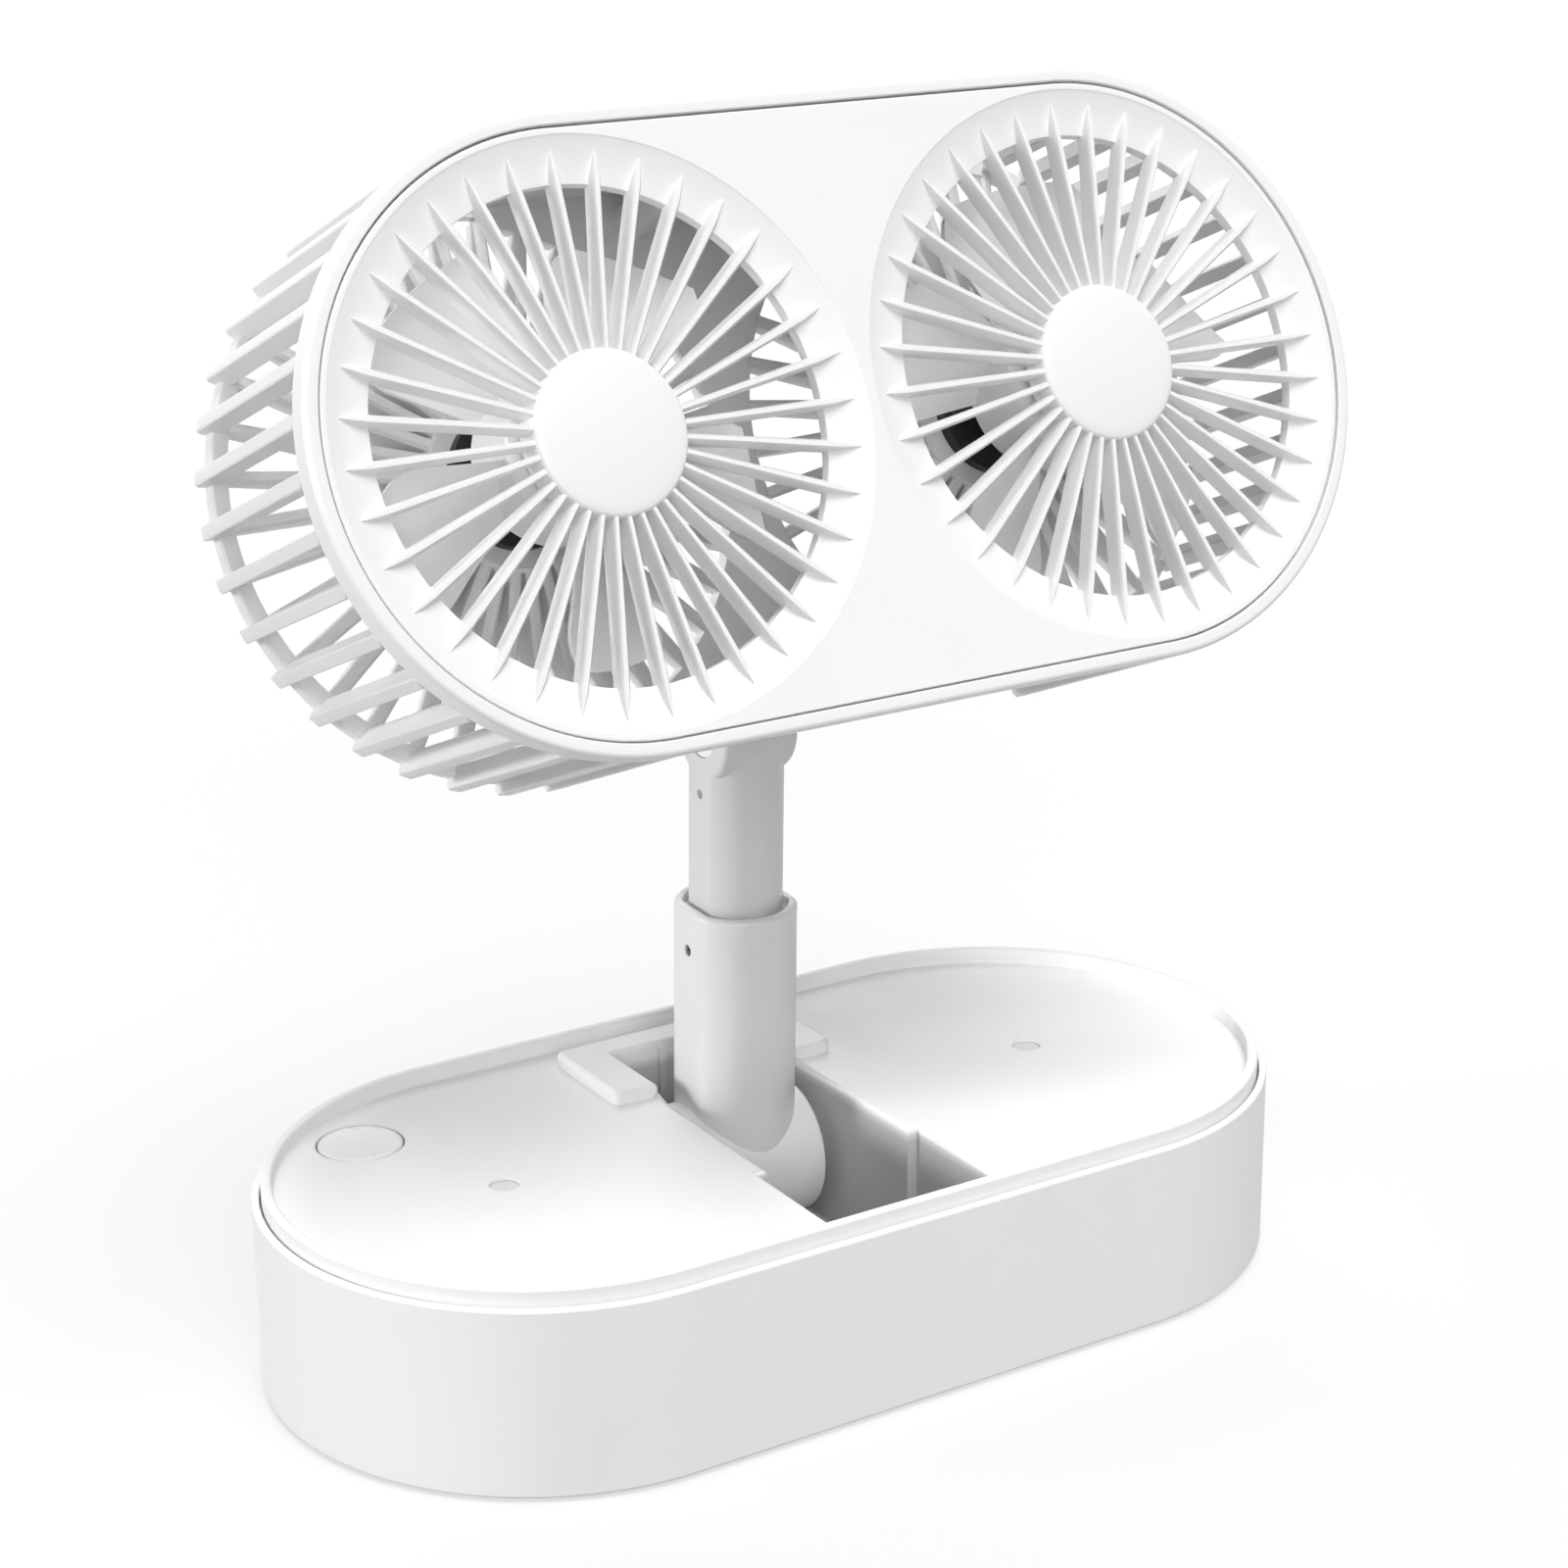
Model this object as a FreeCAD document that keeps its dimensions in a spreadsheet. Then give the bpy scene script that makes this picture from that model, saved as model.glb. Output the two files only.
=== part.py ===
import FreeCAD, Part
import math
import os
import re
import Sketcher

# Twin table fan: a wide rounded head with two grilles on a leaning telescopic pole, which folds into
# the well of a flat base. X runs along the base, Y to the back, Z up. The origin is the middle of the
# underside of the anti-slip pad, which rests on the table. All lengths are in millimetres.
SIZES = {
    # base
    "end_offset": 50.0,        # from the middle to the centre of each rounded end, base and head alike
    "base_radius": 53.2,
    "base_wall": 2.8,
    "wall_top": 36.4,          # top of the outer wall
    "wall_edge": 0.6,          # rounding of the outer wall's edges
    "pad_proud": 0.8,          # the pad stands this far below the outer wall
    "pad_recess": 0.4,         # the plate's underside lies this far inside the wall
    "pad_inset": 11.2,
    "pad_radius": "base_radius - pad_inset",
    "plate_thick": 2.0,
    "plate_seat": 1.0,         # step in the wall that the plate rests against
    "fit_gap": 0.2,            # clearance round a part that is only laid in
    "running_gap": 0.05,       # clearance of a pin, screw or shaft in its hole
    "press_gap": 0.01,         # clearance of a shaft that is pressed in
    "overcut": 1.0,            # holes and hollows are cut this far past the faces they open
    "moving_gap": 0.3,         # clearance between parts that move past each other
    "deck_seat": 32.0,         # ledge in the wall that carries the deck
    "deck_top": 36.5,
    "deck_thick": 2.0,
    "lip_setback": 1.8,        # of the lip from the outer wall
    "lip_radius": "base_radius - lip_setback",
    "lip_thick": 2.0,
    "lip_top": 39.5,
    "lip_edge": 0.5,
    "lip_reveal": 0.35,        # shadow gap between lip and outer wall
    # well of the pole and the raised frame at its rear end
    "well_half": 15.5,
    "well_wide": 17.6,         # half width in front of the step
    "well_step": 20.5,
    "well_inset": 1.2,         # front end of the well inside the lip
    "well_front": "lip_radius - lip_thick - well_inset",
    "well_back": "frame_back - frame_bar",
    "well_wall": 1.8,
    "well_clear": 0.6,         # room under the pivot barrel
    "well_rib": 1.6,
    "well_rib_spacing": 8.0,
    "frame_half": 24.5,
    "frame_reach": 2.36,       # front edge of the frame behind the pivot
    "frame_front": "pivot_back + frame_reach",
    "frame_inset": 5.4,        # rear edge of the frame inside the lip
    "frame_back": "lip_radius - lip_thick - frame_inset",
    "frame_bar": 6.6,
    "frame_top": 39.2,
    # screws
    "screw_radius": 1.45,
    "screw_head": 2.6,
    "screw_head_thick": 1.1,
    "screw_grip": 9.0,         # length of thread in its boss
    "boss_radius": 3.5,
    "boss_x": 26.0,
    "boss_inset": 14.4,
    "boss_y": "base_radius - base_wall - boss_inset",
    "post_x": 58.3,            # deck screws
    "post_gap": 0.7,           # between a post and the rear cell
    "post_y": "cell_rear - cell_radius - post_gap - boss_radius",
    "small_screw": 0.95,
    "small_head": 1.9,
    # power pack and electronics
    "cell_radius": 9.2,
    "cell_front": 16.0,
    "switch_gap": 2.6,         # between the holder and the post of the switch
    "cell_rear": "button_y - switch_post - switch_gap - tray_half",
    "tray_half": "cell_radius + fit_gap + holder_wall",
    "tray_gap": 4.7,           # between the holder and the well
    "tray_clear": 0.9,         # between the holder and the outer wall
    "tray_start": "well_wide + well_wall + tray_gap",
    "tray_end": "end_offset + sqrt((base_radius - base_wall)^2 - (cell_front + tray_half)^2) - tray_clear",
    "cell_length": "tray_end - tray_start - 2 * (fit_gap + holder_wall)",
    "cell_x": "(tray_start + tray_end) / 2",
    "holder_wall": 1.2,
    "holder_height": 7.0,
    "board_x": 48.0,
    "board_length": 28.0,
    "board_gap": 3.9,          # between the board and the post of the deck screw
    "board_clear": 3.4,        # between the board and the outer wall
    "board_front": "post_y + boss_radius + board_gap",
    "board_back": "base_radius - base_wall - board_clear",
    "board_thick": 1.6,
    "standoff": 4.0,
    "standoff_radius": 2.2,
    "board_hole_inset": 3.0,
    "usb_x": "board_x",
    "usb_width": 8.94,
    "usb_height": 3.26,
    "usb_length": 7.4,
    "usb_wall": 0.3,
    "usb_tongue": 0.7,
    "usb_sunk": 1.6,           # the socket's mouth lies this far inside the outer face
    "button_side": 0.45344,    # place of the button as a share of the lip's inner radius
    "button_rear": 0.6336,
    "button_x": "end_offset + button_side * (lip_radius - lip_thick)",
    "button_y": "button_rear * (lip_radius - lip_thick)",
    "button_radius": 8.0,
    "button_flange": 1.0,
    "flange_thick": 1.2,
    "button_travel": 1.0,
    "switch_side": 6.2,
    "switch_height": 3.8,
    "switch_post": 4.1,
    "plunger_radius": 1.8,
    "plunger_length": 3.0,
    # pole
    "pivot_clear": 20.56,      # from the pivot to the rear end of the well
    "pivot_back": "well_back - pivot_clear",
    "pivot_height": 20.8,
    "pivot_radius": 2.5,
    "pivot_overhang": 1.5,     # pin ends outside the well
    "barrel_radius": 13.2,
    "barrel_half": 13.0,
    "washer_radius": 8.0,
    "pole_lean": 2.23,         # degrees forward
    "tube_radius": 11.7,
    "tube_flat": 10.55,        # from the axis to each flat side
    "tube_top": 54.3,          # from the pivot
    "tube_edge": 0.9,
    "tube_wall": 1.65,
    "bush_length": 10.0,
    "bush_inset": 1.6,
    "bush_pin_radius": 1.1,
    "bush_pin_height": 46.0,
    "bush_pin_sunk": 0.4,
    "rod_radius": 8.9,
    "rod_flat": 8.0,
    "rod_bore": 5.6,
    "collar_length": 5.0,
    "pole_travel": 25.0,
    "hinge_reach": 89.1,       # from the pivot to the head's hinge
    "hinge_radius": 9.2,
    "hinge_edge": 1.2,
    "hinge_pin_radius": 2.0,
    "pin_head": 4.7,
    "pin_head_thick": 1.1,
    "nut_radius": 3.8,
    "nut_thick": 1.9,
    "slot_width": 1.0,         # driver slot
    "knuckle_radius": 6.6,
    "knuckle_half": 4.0,
    "fork_back": 35.0,         # the fork is open this many degrees below level at the back
    "clip_hole": 0.9,
    "clip_drop": 12.1,
    "clip_hole_height": "hinge_reach - clip_drop",
    # head, measured from the middle of the front panel: depth runs to the back
    "head_tilt": 22.55,        # degrees backward
    "hinge_offset": 0.75,      # the hinge lies this far above the bracket's lower end
    "hinge_drop": "bracket_low - hinge_offset",
    "hinge_setback": 69.06,    # and this far behind the front panel
    "head_depth": 50.0,
    "bezel_radius": 53.0,
    "bezel_crown": 0.4,
    "bezel_depth": 4.5,
    "bezel_edge": 1.0,
    "bezel_width": 2.9,
    "panel_radius": "bezel_radius - bezel_width",
    "panel_thick": 2.2,
    "panel_seat": 2.6,
    "seam_gap": 0.35,
    "panel_margin": 1.2,
    "recess_radius": "panel_radius - panel_margin",
    "band_start": 0.2,         # depth of the dished band at its outer edge
    "band_depth": 2.3,
    "band_heel": 2.0,
    "band_foot": "recess_radius - band_heel",
    "band_back": 4.4,
    "band_width": 7.7,
    "opening_radius": "recess_radius - band_width",
    "hub_radius": 14.0,
    "hub_crown": 0.9,
    "hub_edge_depth": 0.4,
    "hub_back": 5.5,
    "rib_count": 36,
    "rib_width": 1.6,
    "tip_margin": 2.1,
    "rib_tip": "recess_radius - tip_margin",
    "rib_edge_depth": 4.0,
    "rib_root_depth": 5.4,
    # rear shell
    "fin_thick": 2.5,
    "fin_height": 4.0,
    "fin_inner": "bezel_radius - fin_height",
    "fin_chamfer": 0.8,
    "hoop_bite": 0.6,          # the fins stand this deep in the hoop
    "hoop_wall": 2.0,
    "hoop_outer": "fin_inner + hoop_bite",
    "hoop_inner": "hoop_outer - hoop_wall",
    "hoop_depth": 3.0,
    "ring_inset": 2.0,
    "ring_width": 3.0,
    "ring_outer": "bezel_radius - ring_inset",
    "ring_inner": "ring_outer - ring_width",
    "ring_depth": 3.2,
    "rear_rib": 2.2,
    "mount_radius": 16.0,
    "mount_depth": 38.0,       # front face of the motor mount
    "mount_dish": 12.0,
    "mount_dish_depth": 3.0,
    "spine_margin": 8.0,
    "spine_half": "end_offset - spine_margin",
    "spine_inset": 2.0,
    "spine_radius": "bezel_radius - spine_inset",
    "spine_wall": 2.0,
    "duct_inset": 4.5,
    "duct_radius": "spine_radius - duct_inset",
    "tower_x": 12.0,
    "tower_inset": 7.2,
    "tower_z": "spine_radius - tower_inset",
    "tower_radius": 3.4,
    "tower_front": 6.0,
    "tower_seat": 9.0,         # screw heads bear here
    # bracket of the hinge
    "bracket_half": 10.0,
    "bracket_thick": 2.6,
    "bracket_inset": 3.0,
    "bracket_length": 19.0,
    "bracket_low": "spine_radius - bracket_inset",
    "bracket_high": "bracket_low - bracket_length",
    "bracket_screw_x": 7.0,
    "bracket_boss": 8.0,
    "arm_thick": 7.0,
    # motors and impellers
    "flange_radius": 12.5,
    "motor_flange": 2.5,
    "stem_radius": 5.0,
    "stem_front": 12.5,
    "stator_radius": 11.2,
    "stator_front": 13.5,
    "stator_length": 7.5,
    "motor_screw_x": 9.0,
    "bearing_radius": 3.0,
    "bearing_length": 4.0,
    "shaft_radius": 1.5,
    "shaft_front": 9.8,
    "shaft_end": 37.0,
    "cup_radius": 14.5,
    "cup_wall": 1.6,
    "cup_front": 8.5,
    "cup_length": 15.0,
    "cup_boss": 4.0,
    "cup_boss_back": 12.2,
    "blade_count": 5,
    "blade_clear": 4.6,
    "blade_tip": "opening_radius - blade_clear",
    "blade_thick": 1.2,
    "blade_camber": 1.6,
    "blade_middle": 17.0,
    "root_chord": 14.0,
    "tip_chord": 30.0,
    "root_pitch": 48.0,
    "tip_pitch": 24.0,
    "left_phase": 57.0,
    "right_phase": 20.0,
}

doc = FreeCAD.newDocument("table_fan")
sizes = doc.addObject("Spreadsheet::Sheet", "sizes")
for row, alias in enumerate(SIZES, 1):
    sizes.set("A%d" % row, alias)
    sizes.setAlias("B%d" % row, alias)
for row, size in enumerate(SIZES.values(), 1):
    sizes.set("B%d" % row, "=" + size if isinstance(size, str) else str(size))
doc.recompute()

nodes = []
TURNS = {
    "x": FreeCAD.Rotation(FreeCAD.Vector(0, 1, 0), 90),
    "y": FreeCAD.Rotation(FreeCAD.Vector(1, 0, 0), -90),
    "z": FreeCAD.Rotation(),
}


def full(expression):
    """The expression with each size named in its sheet."""
    return re.sub(r"[A-Za-z_]\w*", lambda word: "sizes." + word[0], str(expression))


def val(expression):
    return float(sizes.evalExpression(full(expression)))


def box(x, y, z):
    """A block between pairs of low and high coordinates."""
    shape = doc.addObject("Part::Box", "block")
    for side, axis, (low, high) in zip(("Length", "Width", "Height"), "xyz", (x, y, z)):
        shape.setExpression(side, full("(%s) - (%s)" % (high, low)))
        shape.setExpression("Placement.Base." + axis, full(low))
    return shape


def rod(axis, radius, low, high, centre=("0", "0")):
    """A cylinder along one axis; centre holds the other two coordinates in their order."""
    shape = doc.addObject("Part::Cylinder", "rod")
    shape.Placement = FreeCAD.Placement(FreeCAD.Vector(), TURNS[axis])
    shape.setExpression("Radius", full(radius))
    shape.setExpression("Height", full("(%s) - (%s)" % (high, low)))
    others = [other for other in "xyz" if other != axis]
    for name, value in zip([axis] + others, (low,) + tuple(centre)):
        shape.setExpression("Placement.Base." + name, full(value))
    return shape


def fuse(*shapes):
    result = doc.addObject("Part::MultiFuse", "joined")
    result.Shapes = list(shapes)
    result.Refine = True
    return result


def cut(base, *tools):
    result = doc.addObject("Part::Cut", "cut")
    result.Base = base
    result.Tool = tools[0] if len(tools) == 1 else fuse(*tools)
    result.Refine = True
    return result


def common(base, tool):
    result = doc.addObject("Part::Common", "shared")
    result.Base = base
    result.Tool = tool
    return result


def group(*shapes):
    result = doc.addObject("Part::Compound", "group")
    result.Links = list(shapes)
    return result


def rounded(base, radius, wanted):
    """The same solid with the wanted edges rounded."""
    doc.recompute()
    result = doc.addObject("Part::Fillet", "rounded")
    result.Base = base
    reach = val(radius)
    result.Edges = [(i, reach, reach) for i, edge in enumerate(base.Shape.Edges, 1) if wanted(edge)]
    return result


def node(name, shape, frame=None):
    shape.Label = name
    if frame:
        shape.Placement = frame
    nodes.append(shape)
    return shape


def stadium(axis, radius, low, high):
    """A slab with two round ends, along Z in the base and along Y in the head."""
    middle = ("-end_offset", "end_offset")
    breadth = ("-(%s)" % radius, radius)
    if axis == "z":
        block = box(middle, breadth, (low, high))
    else:
        block = box(middle, (low, high), breadth)
    return fuse(block, *[rod(axis, radius, low, high, (end, "0")) for end in middle])


def on_rim(axis, level, radius):
    """Tests whether an edge runs along a stadium of this radius at this level."""
    def wanted(edge):
        for share in (0.1, 0.5, 0.9):
            first, last = edge.ParameterRange
            point = edge.valueAt(first + share * (last - first))
            height, other = (point.z, point.y) if axis == "z" else (point.y, point.z)
            reach = math.hypot(max(abs(point.x) - val("end_offset"), 0), other)
            if abs(height - val(level)) > 0.01 or abs(reach - val(radius)) > 0.01:
                return False
        return True
    return wanted


def double_d(radius, flat, low, high):
    """A round bar along Z with two flat sides."""
    width = "2 * (%s)" % radius
    slab = box(("-(%s)" % flat, flat), ("-(%s)" % width, width), (low, high))
    return common(rod("z", radius, low, high), slab)


def screw(axis, radius, head, tip, seat, end, centre):
    """A screw whose head lies between seat and end, and whose shank runs from seat to tip."""
    shank = (seat, tip) if val(tip) > val(seat) else (tip, seat)
    crown = (seat, end) if val(end) > val(seat) else (end, seat)
    return fuse(rod(axis, radius, *shank, centre), rod(axis, head, *crown, centre))


def four(x, y):
    return [(sx + x, sy + y) for sx in ("-", "") for sy in ("-", "")]


def sketch(body, plane, points):
    """A closed outline in one of the body's planes, each corner tied to its two coordinates."""
    shape = body.newObject("Sketcher::SketchObject", "outline")
    origin = [item for item in body.Origin.OriginFeatures if item.Role == plane][0]
    shape.AttachmentSupport = [(origin, "")]
    shape.MapMode = "FlatFace"
    corners = [FreeCAD.Vector(val(x), val(y), 0) for x, y in points]
    count = len(corners)
    for i in range(count):
        shape.addGeometry(Part.LineSegment(corners[i], corners[(i + 1) % count]), False)
    for i in range(count):
        shape.addConstraint(Sketcher.Constraint("Coincident", i, 2, (i + 1) % count, 1))
    for i, point in enumerate(points):
        for kind, axis, expression in zip(("DistanceX", "DistanceY"), (-2, -1), point):
            value = val(expression)
            if value == 0:
                shape.addConstraint(Sketcher.Constraint("PointOnObject", i, 1, axis))
                continue
            ends = (-1, 1, i, 1) if value > 0 else (i, 1, -1, 1)
            index = shape.addConstraint(Sketcher.Constraint(kind, *ends, abs(value)))
            sign = "" if value > 0 else "-"
            shape.setExpression("Constraints[%d]" % index, full("%s(%s)" % (sign, expression)))
    return shape


def revolve(body, plane, axis, points):
    feature = body.newObject("PartDesign::Revolution", "turned")
    feature.Profile = sketch(body, plane, points)
    feature.ReferenceAxis = (feature.Profile[0], [axis])
    feature.Angle = 360
    return feature


def spokes(body, plane, points, thick, turn, count, backward=False):
    """A flat blade standing on an outline, repeated round the body's Y axis."""
    blade = body.newObject("PartDesign::Pad", "blade")
    blade.Profile = sketch(body, plane, points)
    blade.SideType = "Symmetric"
    blade.setExpression("Length", full(thick))
    ring = body.newObject("PartDesign::PolarPattern", "ring")
    ring.Originals = [blade]
    ring.Axis = ([item for item in body.Origin.OriginFeatures if item.Role == "Y_Axis"][0], [""])
    ring.Angle = turn
    ring.setExpression("Occurrences", full(count))
    ring.Reversed = backward
    body.Tip = ring
    return ring


# Outer wall of the base: a rounded band with a ledge for the deck at the top, a step for the plate at the
# bottom and the usb opening at the back.
INSIDE = "base_radius - base_wall"
PLATE_LOW = "pad_proud + pad_recess"
PLATE_TOP = "pad_proud + pad_recess + plate_thick"
BOARD_LOW = PLATE_TOP + " + standoff"
BOARD_TOP = BOARD_LOW + " + board_thick"
USB_SIDE = "usb_width / 2"
shell = cut(
    stadium("z", "base_radius", "pad_proud", "wall_top"),
    stadium("z", INSIDE, "0", "2 * wall_top"),
    stadium("z", "lip_radius + lip_reveal", "deck_seat", "2 * wall_top"),
    stadium("z", INSIDE + " + plate_seat", "0", PLATE_TOP),
    box(("usb_x - %s - moving_gap" % USB_SIDE, "usb_x + %s + moving_gap" % USB_SIDE),
        ("base_radius - 2 * base_wall", "base_radius + base_wall"),
        (BOARD_TOP + " - moving_gap", BOARD_TOP + " + usb_height + moving_gap")),
)
low_rim = on_rim("z", "pad_proud", "base_radius")
high_rim = on_rim("z", "wall_top", "base_radius")
node("base_shell", rounded(shell, "wall_edge", lambda edge: low_rim(edge) or high_rim(edge)))

# Bottom plate with the posts of the deck screws, the standoffs of the board and the post of the switch.
DECK_LOW = "deck_top - deck_thick"
SWITCH_TOP = DECK_LOW + " - moving_gap - flange_thick - 2 * button_travel"
SWITCH_LOW = SWITCH_TOP + " - switch_height"
HOLE = "screw_radius + running_gap"
SMALL_HOLE = "small_screw + running_gap"
HEAD_HOLE = "screw_head + 2 * running_gap"
POSTS = [("-post_x", "post_y"), ("post_x", "post_y")]
BOSSES = four("boss_x", "boss_y")
BUTTON = ("-button_x", "button_y")
BOARD = [("board_x - board_length / 2", "board_x + board_length / 2"),
         ("board_front", "board_back")]
BOARD_HOLES = [(x, y) for x in (BOARD[0][0] + " + board_hole_inset", BOARD[0][1] + " - board_hole_inset")
               for y in (BOARD[1][0] + " + board_hole_inset", BOARD[1][1] + " - 3 * board_hole_inset")]
PLATE_SEAT = PLATE_LOW + " + screw_head_thick + running_gap"
node("bottom_plate", cut(
    fuse(
        stadium("z", INSIDE + " + plate_seat - fit_gap", PLATE_LOW, PLATE_TOP),
        *[rod("z", "boss_radius", PLATE_LOW, DECK_LOW, spot) for spot in POSTS],
        *[rod("z", "standoff_radius", PLATE_LOW, BOARD_LOW, spot) for spot in BOARD_HOLES],
        rod("z", "switch_post", PLATE_LOW, SWITCH_LOW, BUTTON)),
    *[rod("z", HOLE, DECK_LOW + " - screw_grip - overcut", DECK_LOW + " + overcut", spot) for spot in POSTS],
    *[rod("z", HOLE, "0", PLATE_TOP + " + overcut", spot) for spot in BOSSES],
    *[rod("z", HEAD_HOLE, "0", PLATE_SEAT, spot) for spot in BOSSES],
    *[rod("z", SMALL_HOLE, PLATE_TOP + " - running_gap", BOARD_LOW + " + overcut", spot)
      for spot in BOARD_HOLES]))

# Anti-slip pad under the plate and the screws that it hides.
node("anti_slip_pad", stadium("z", "pad_radius", "0", PLATE_LOW))
node("bottom_screws", group(*[
    screw("z", "screw_radius", "screw_head", PLATE_TOP + " + screw_grip", PLATE_SEAT,
          PLATE_LOW + " + running_gap", spot) for spot in BOSSES]))

# Deck: the lip, the floor, the raised frame and the deep well with the pivot holes in its side walls.
WELL_FLOOR = "pivot_height - barrel_radius - well_clear"
LIP_INSIDE = "lip_radius - lip_thick"
PIVOT = ("pivot_back", "pivot_height")
SCREW_SEAT = "deck_top - screw_head_thick - screw_head_thick / 2"


def mirrored(expression):
    return "-(%s)" % expression, expression


deck = cut(
    fuse(
        cut(stadium("z", "lip_radius", "deck_seat", "lip_top"), stadium("z", LIP_INSIDE, "0", "2 * lip_top")),
        stadium("z", LIP_INSIDE + " + lip_thick / 2", DECK_LOW, "deck_top"),
        box(mirrored("frame_half"), ("frame_front", "frame_back"), (DECK_LOW, "frame_top")),
        box(mirrored("well_half + well_wall"), ("-well_step", "well_back + well_wall"),
            (WELL_FLOOR + " - well_wall", "deck_top - deck_thick / 2")),
        box(mirrored("well_wide + well_wall"), ("-well_front - well_wall", "-well_step + well_wall"),
            (WELL_FLOOR + " - well_wall", "deck_top - deck_thick / 2")),
        *[rod("z", "boss_radius", PLATE_TOP, "deck_top - deck_thick / 2", spot) for spot in BOSSES]),
    cut(
        fuse(box(mirrored("well_half"), ("-well_step - overcut", "well_back"), (WELL_FLOOR, "2 * lip_top")),
             box(mirrored("well_wide"), ("-well_front", "-well_step"), (WELL_FLOOR, "2 * lip_top"))),
        *[box((middle + " - well_rib / 2", middle + " + well_rib / 2"),
              ("well_back - well_rib / 2", "well_back + overcut"), ("0", "3 * lip_top"))
          for middle in mirrored("well_rib_spacing / 2")]),
    rod("z", "button_radius + moving_gap", DECK_LOW + " - overcut", "deck_top + overcut", BUTTON),
    *[rod("z", HOLE, DECK_LOW + " - overcut", "deck_top + overcut", spot) for spot in POSTS],
    *[rod("z", HEAD_HOLE, SCREW_SEAT, "deck_top + overcut", spot) for spot in POSTS],
    *[rod("z", HOLE, "0", PLATE_TOP + " + screw_grip + overcut", spot) for spot in BOSSES],
    rod("x", "pivot_radius + running_gap", "-2 * well_wide", "2 * well_wide", PIVOT),
)
lip_rims = [on_rim("z", "lip_top", radius) for radius in ("lip_radius", LIP_INSIDE)]
node("deck", rounded(deck, "lip_edge", lambda edge: any(rim(edge) for rim in lip_rims)))
node("deck_screws", group(*[
    screw("z", "screw_radius", "screw_head", DECK_LOW + " - screw_grip", SCREW_SEAT,
          SCREW_SEAT + " + screw_head_thick", spot) for spot in POSTS]))

# Steel pivot pin of the pole and the two washers that fill the well beside the barrel.
PIN_HALF = "well_half + well_wall + pivot_overhang"
node("pivot_pin", rod("x", "pivot_radius", "-(%s)" % PIN_HALF, PIN_HALF, PIVOT))
WASHER = "barrel_half + moving_gap"
node("pivot_washers", group(*[
    cut(rod("x", "washer_radius", *ends, PIVOT),
        rod("x", "pivot_radius + running_gap", "-2 * well_half", "2 * well_half", PIVOT))
    for ends in (("-well_half", "-(%s)" % WASHER), (WASHER, "well_half"))]))

# Battery holder, a low tray round two cells, with room for the post of the deck screw.
CELL_ENDS = ("-cell_x - cell_length / 2", "-cell_x + cell_length / 2")
TRAY = [(CELL_ENDS[0] + " - fit_gap", CELL_ENDS[1] + " + fit_gap"),
        ("-cell_front - cell_radius - fit_gap", "cell_rear + cell_radius + fit_gap")]
TRAY_OUTER = [("%s - holder_wall" % low, "%s + holder_wall" % high) for low, high in TRAY]
CELL_HEIGHT = PLATE_TOP + " + holder_wall + cell_radius + running_gap"
node("battery_holder", cut(
    box(*TRAY_OUTER, (PLATE_TOP, PLATE_TOP + " + holder_height")),
    box(*TRAY, (PLATE_TOP + " + holder_wall", PLATE_TOP + " + holder_height + overcut")),
    rod("z", "boss_radius + moving_gap", "0", "deck_top", POSTS[0])))
node("battery_cells", group(*[
    rod("x", "cell_radius", *CELL_ENDS, (y, CELL_HEIGHT)) for y in ("-cell_front", "cell_rear")]))

# Control board on its standoffs, its four small screws and the usb socket at its rear edge.
node("control_board", cut(
    box(*BOARD, (BOARD_LOW, BOARD_TOP)),
    *[rod("z", SMALL_HOLE, "0", "deck_top", spot) for spot in BOARD_HOLES]))
node("board_screws", group(*[
    screw("z", "small_screw", "small_head", PLATE_TOP, BOARD_TOP, BOARD_TOP + " + screw_head_thick", spot)
    for spot in BOARD_HOLES]))
USB_MOUTH = "base_radius - usb_sunk"
USB_BACK = USB_MOUTH + " - usb_length"
USB_MIDDLE = BOARD_TOP + " + usb_height / 2"
node("usb_socket", fuse(
    cut(box(("usb_x - %s" % USB_SIDE, "usb_x + %s" % USB_SIDE), (USB_BACK, USB_MOUTH),
            (BOARD_TOP, BOARD_TOP + " + usb_height")),
        box(("usb_x - %s + usb_wall" % USB_SIDE, "usb_x + %s - usb_wall" % USB_SIDE),
            (USB_BACK + " + 4 * usb_wall", USB_MOUTH + " + overcut"),
            (BOARD_TOP + " + usb_wall", BOARD_TOP + " + usb_height - usb_wall"))),
    box(("usb_x - usb_width * 3 / 8", "usb_x + usb_width * 3 / 8"),
        (USB_BACK + " + usb_wall", USB_MOUTH + " - 3 * usb_wall"),
        (USB_MIDDLE + " - usb_tongue / 2", USB_MIDDLE + " + usb_tongue / 2"))))

# Round power button, held under the deck by its flange, with the switch and plunger below it.
BUTTON_LOW = DECK_LOW + " - moving_gap - flange_thick"
node("power_button", fuse(
    rod("z", "button_radius", BUTTON_LOW, "deck_top", BUTTON),
    rod("z", "button_radius + button_flange", BUTTON_LOW, BUTTON_LOW + " + flange_thick", BUTTON)))
node("switch_plunger", rod("z", "plunger_radius", BUTTON_LOW + " - plunger_length", BUTTON_LOW, BUTTON))
node("button_switch", cut(
    box(("-button_x - switch_side / 2", "-button_x + switch_side / 2"),
        ("button_y - switch_side / 2", "button_y + switch_side / 2"), (SWITCH_LOW, SWITCH_TOP)),
    rod("z", "plunger_radius + running_gap", BUTTON_LOW + " - plunger_length - button_travel - moving_gap",
        "deck_top", BUTTON)))

# The pole's own frame starts at the pivot and leans forward.
pole = FreeCAD.Placement(FreeCAD.Vector(0, val("pivot_back"), val("pivot_height")),
                         FreeCAD.Rotation(FreeCAD.Vector(1, 0, 0), val("pole_lean")))

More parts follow.
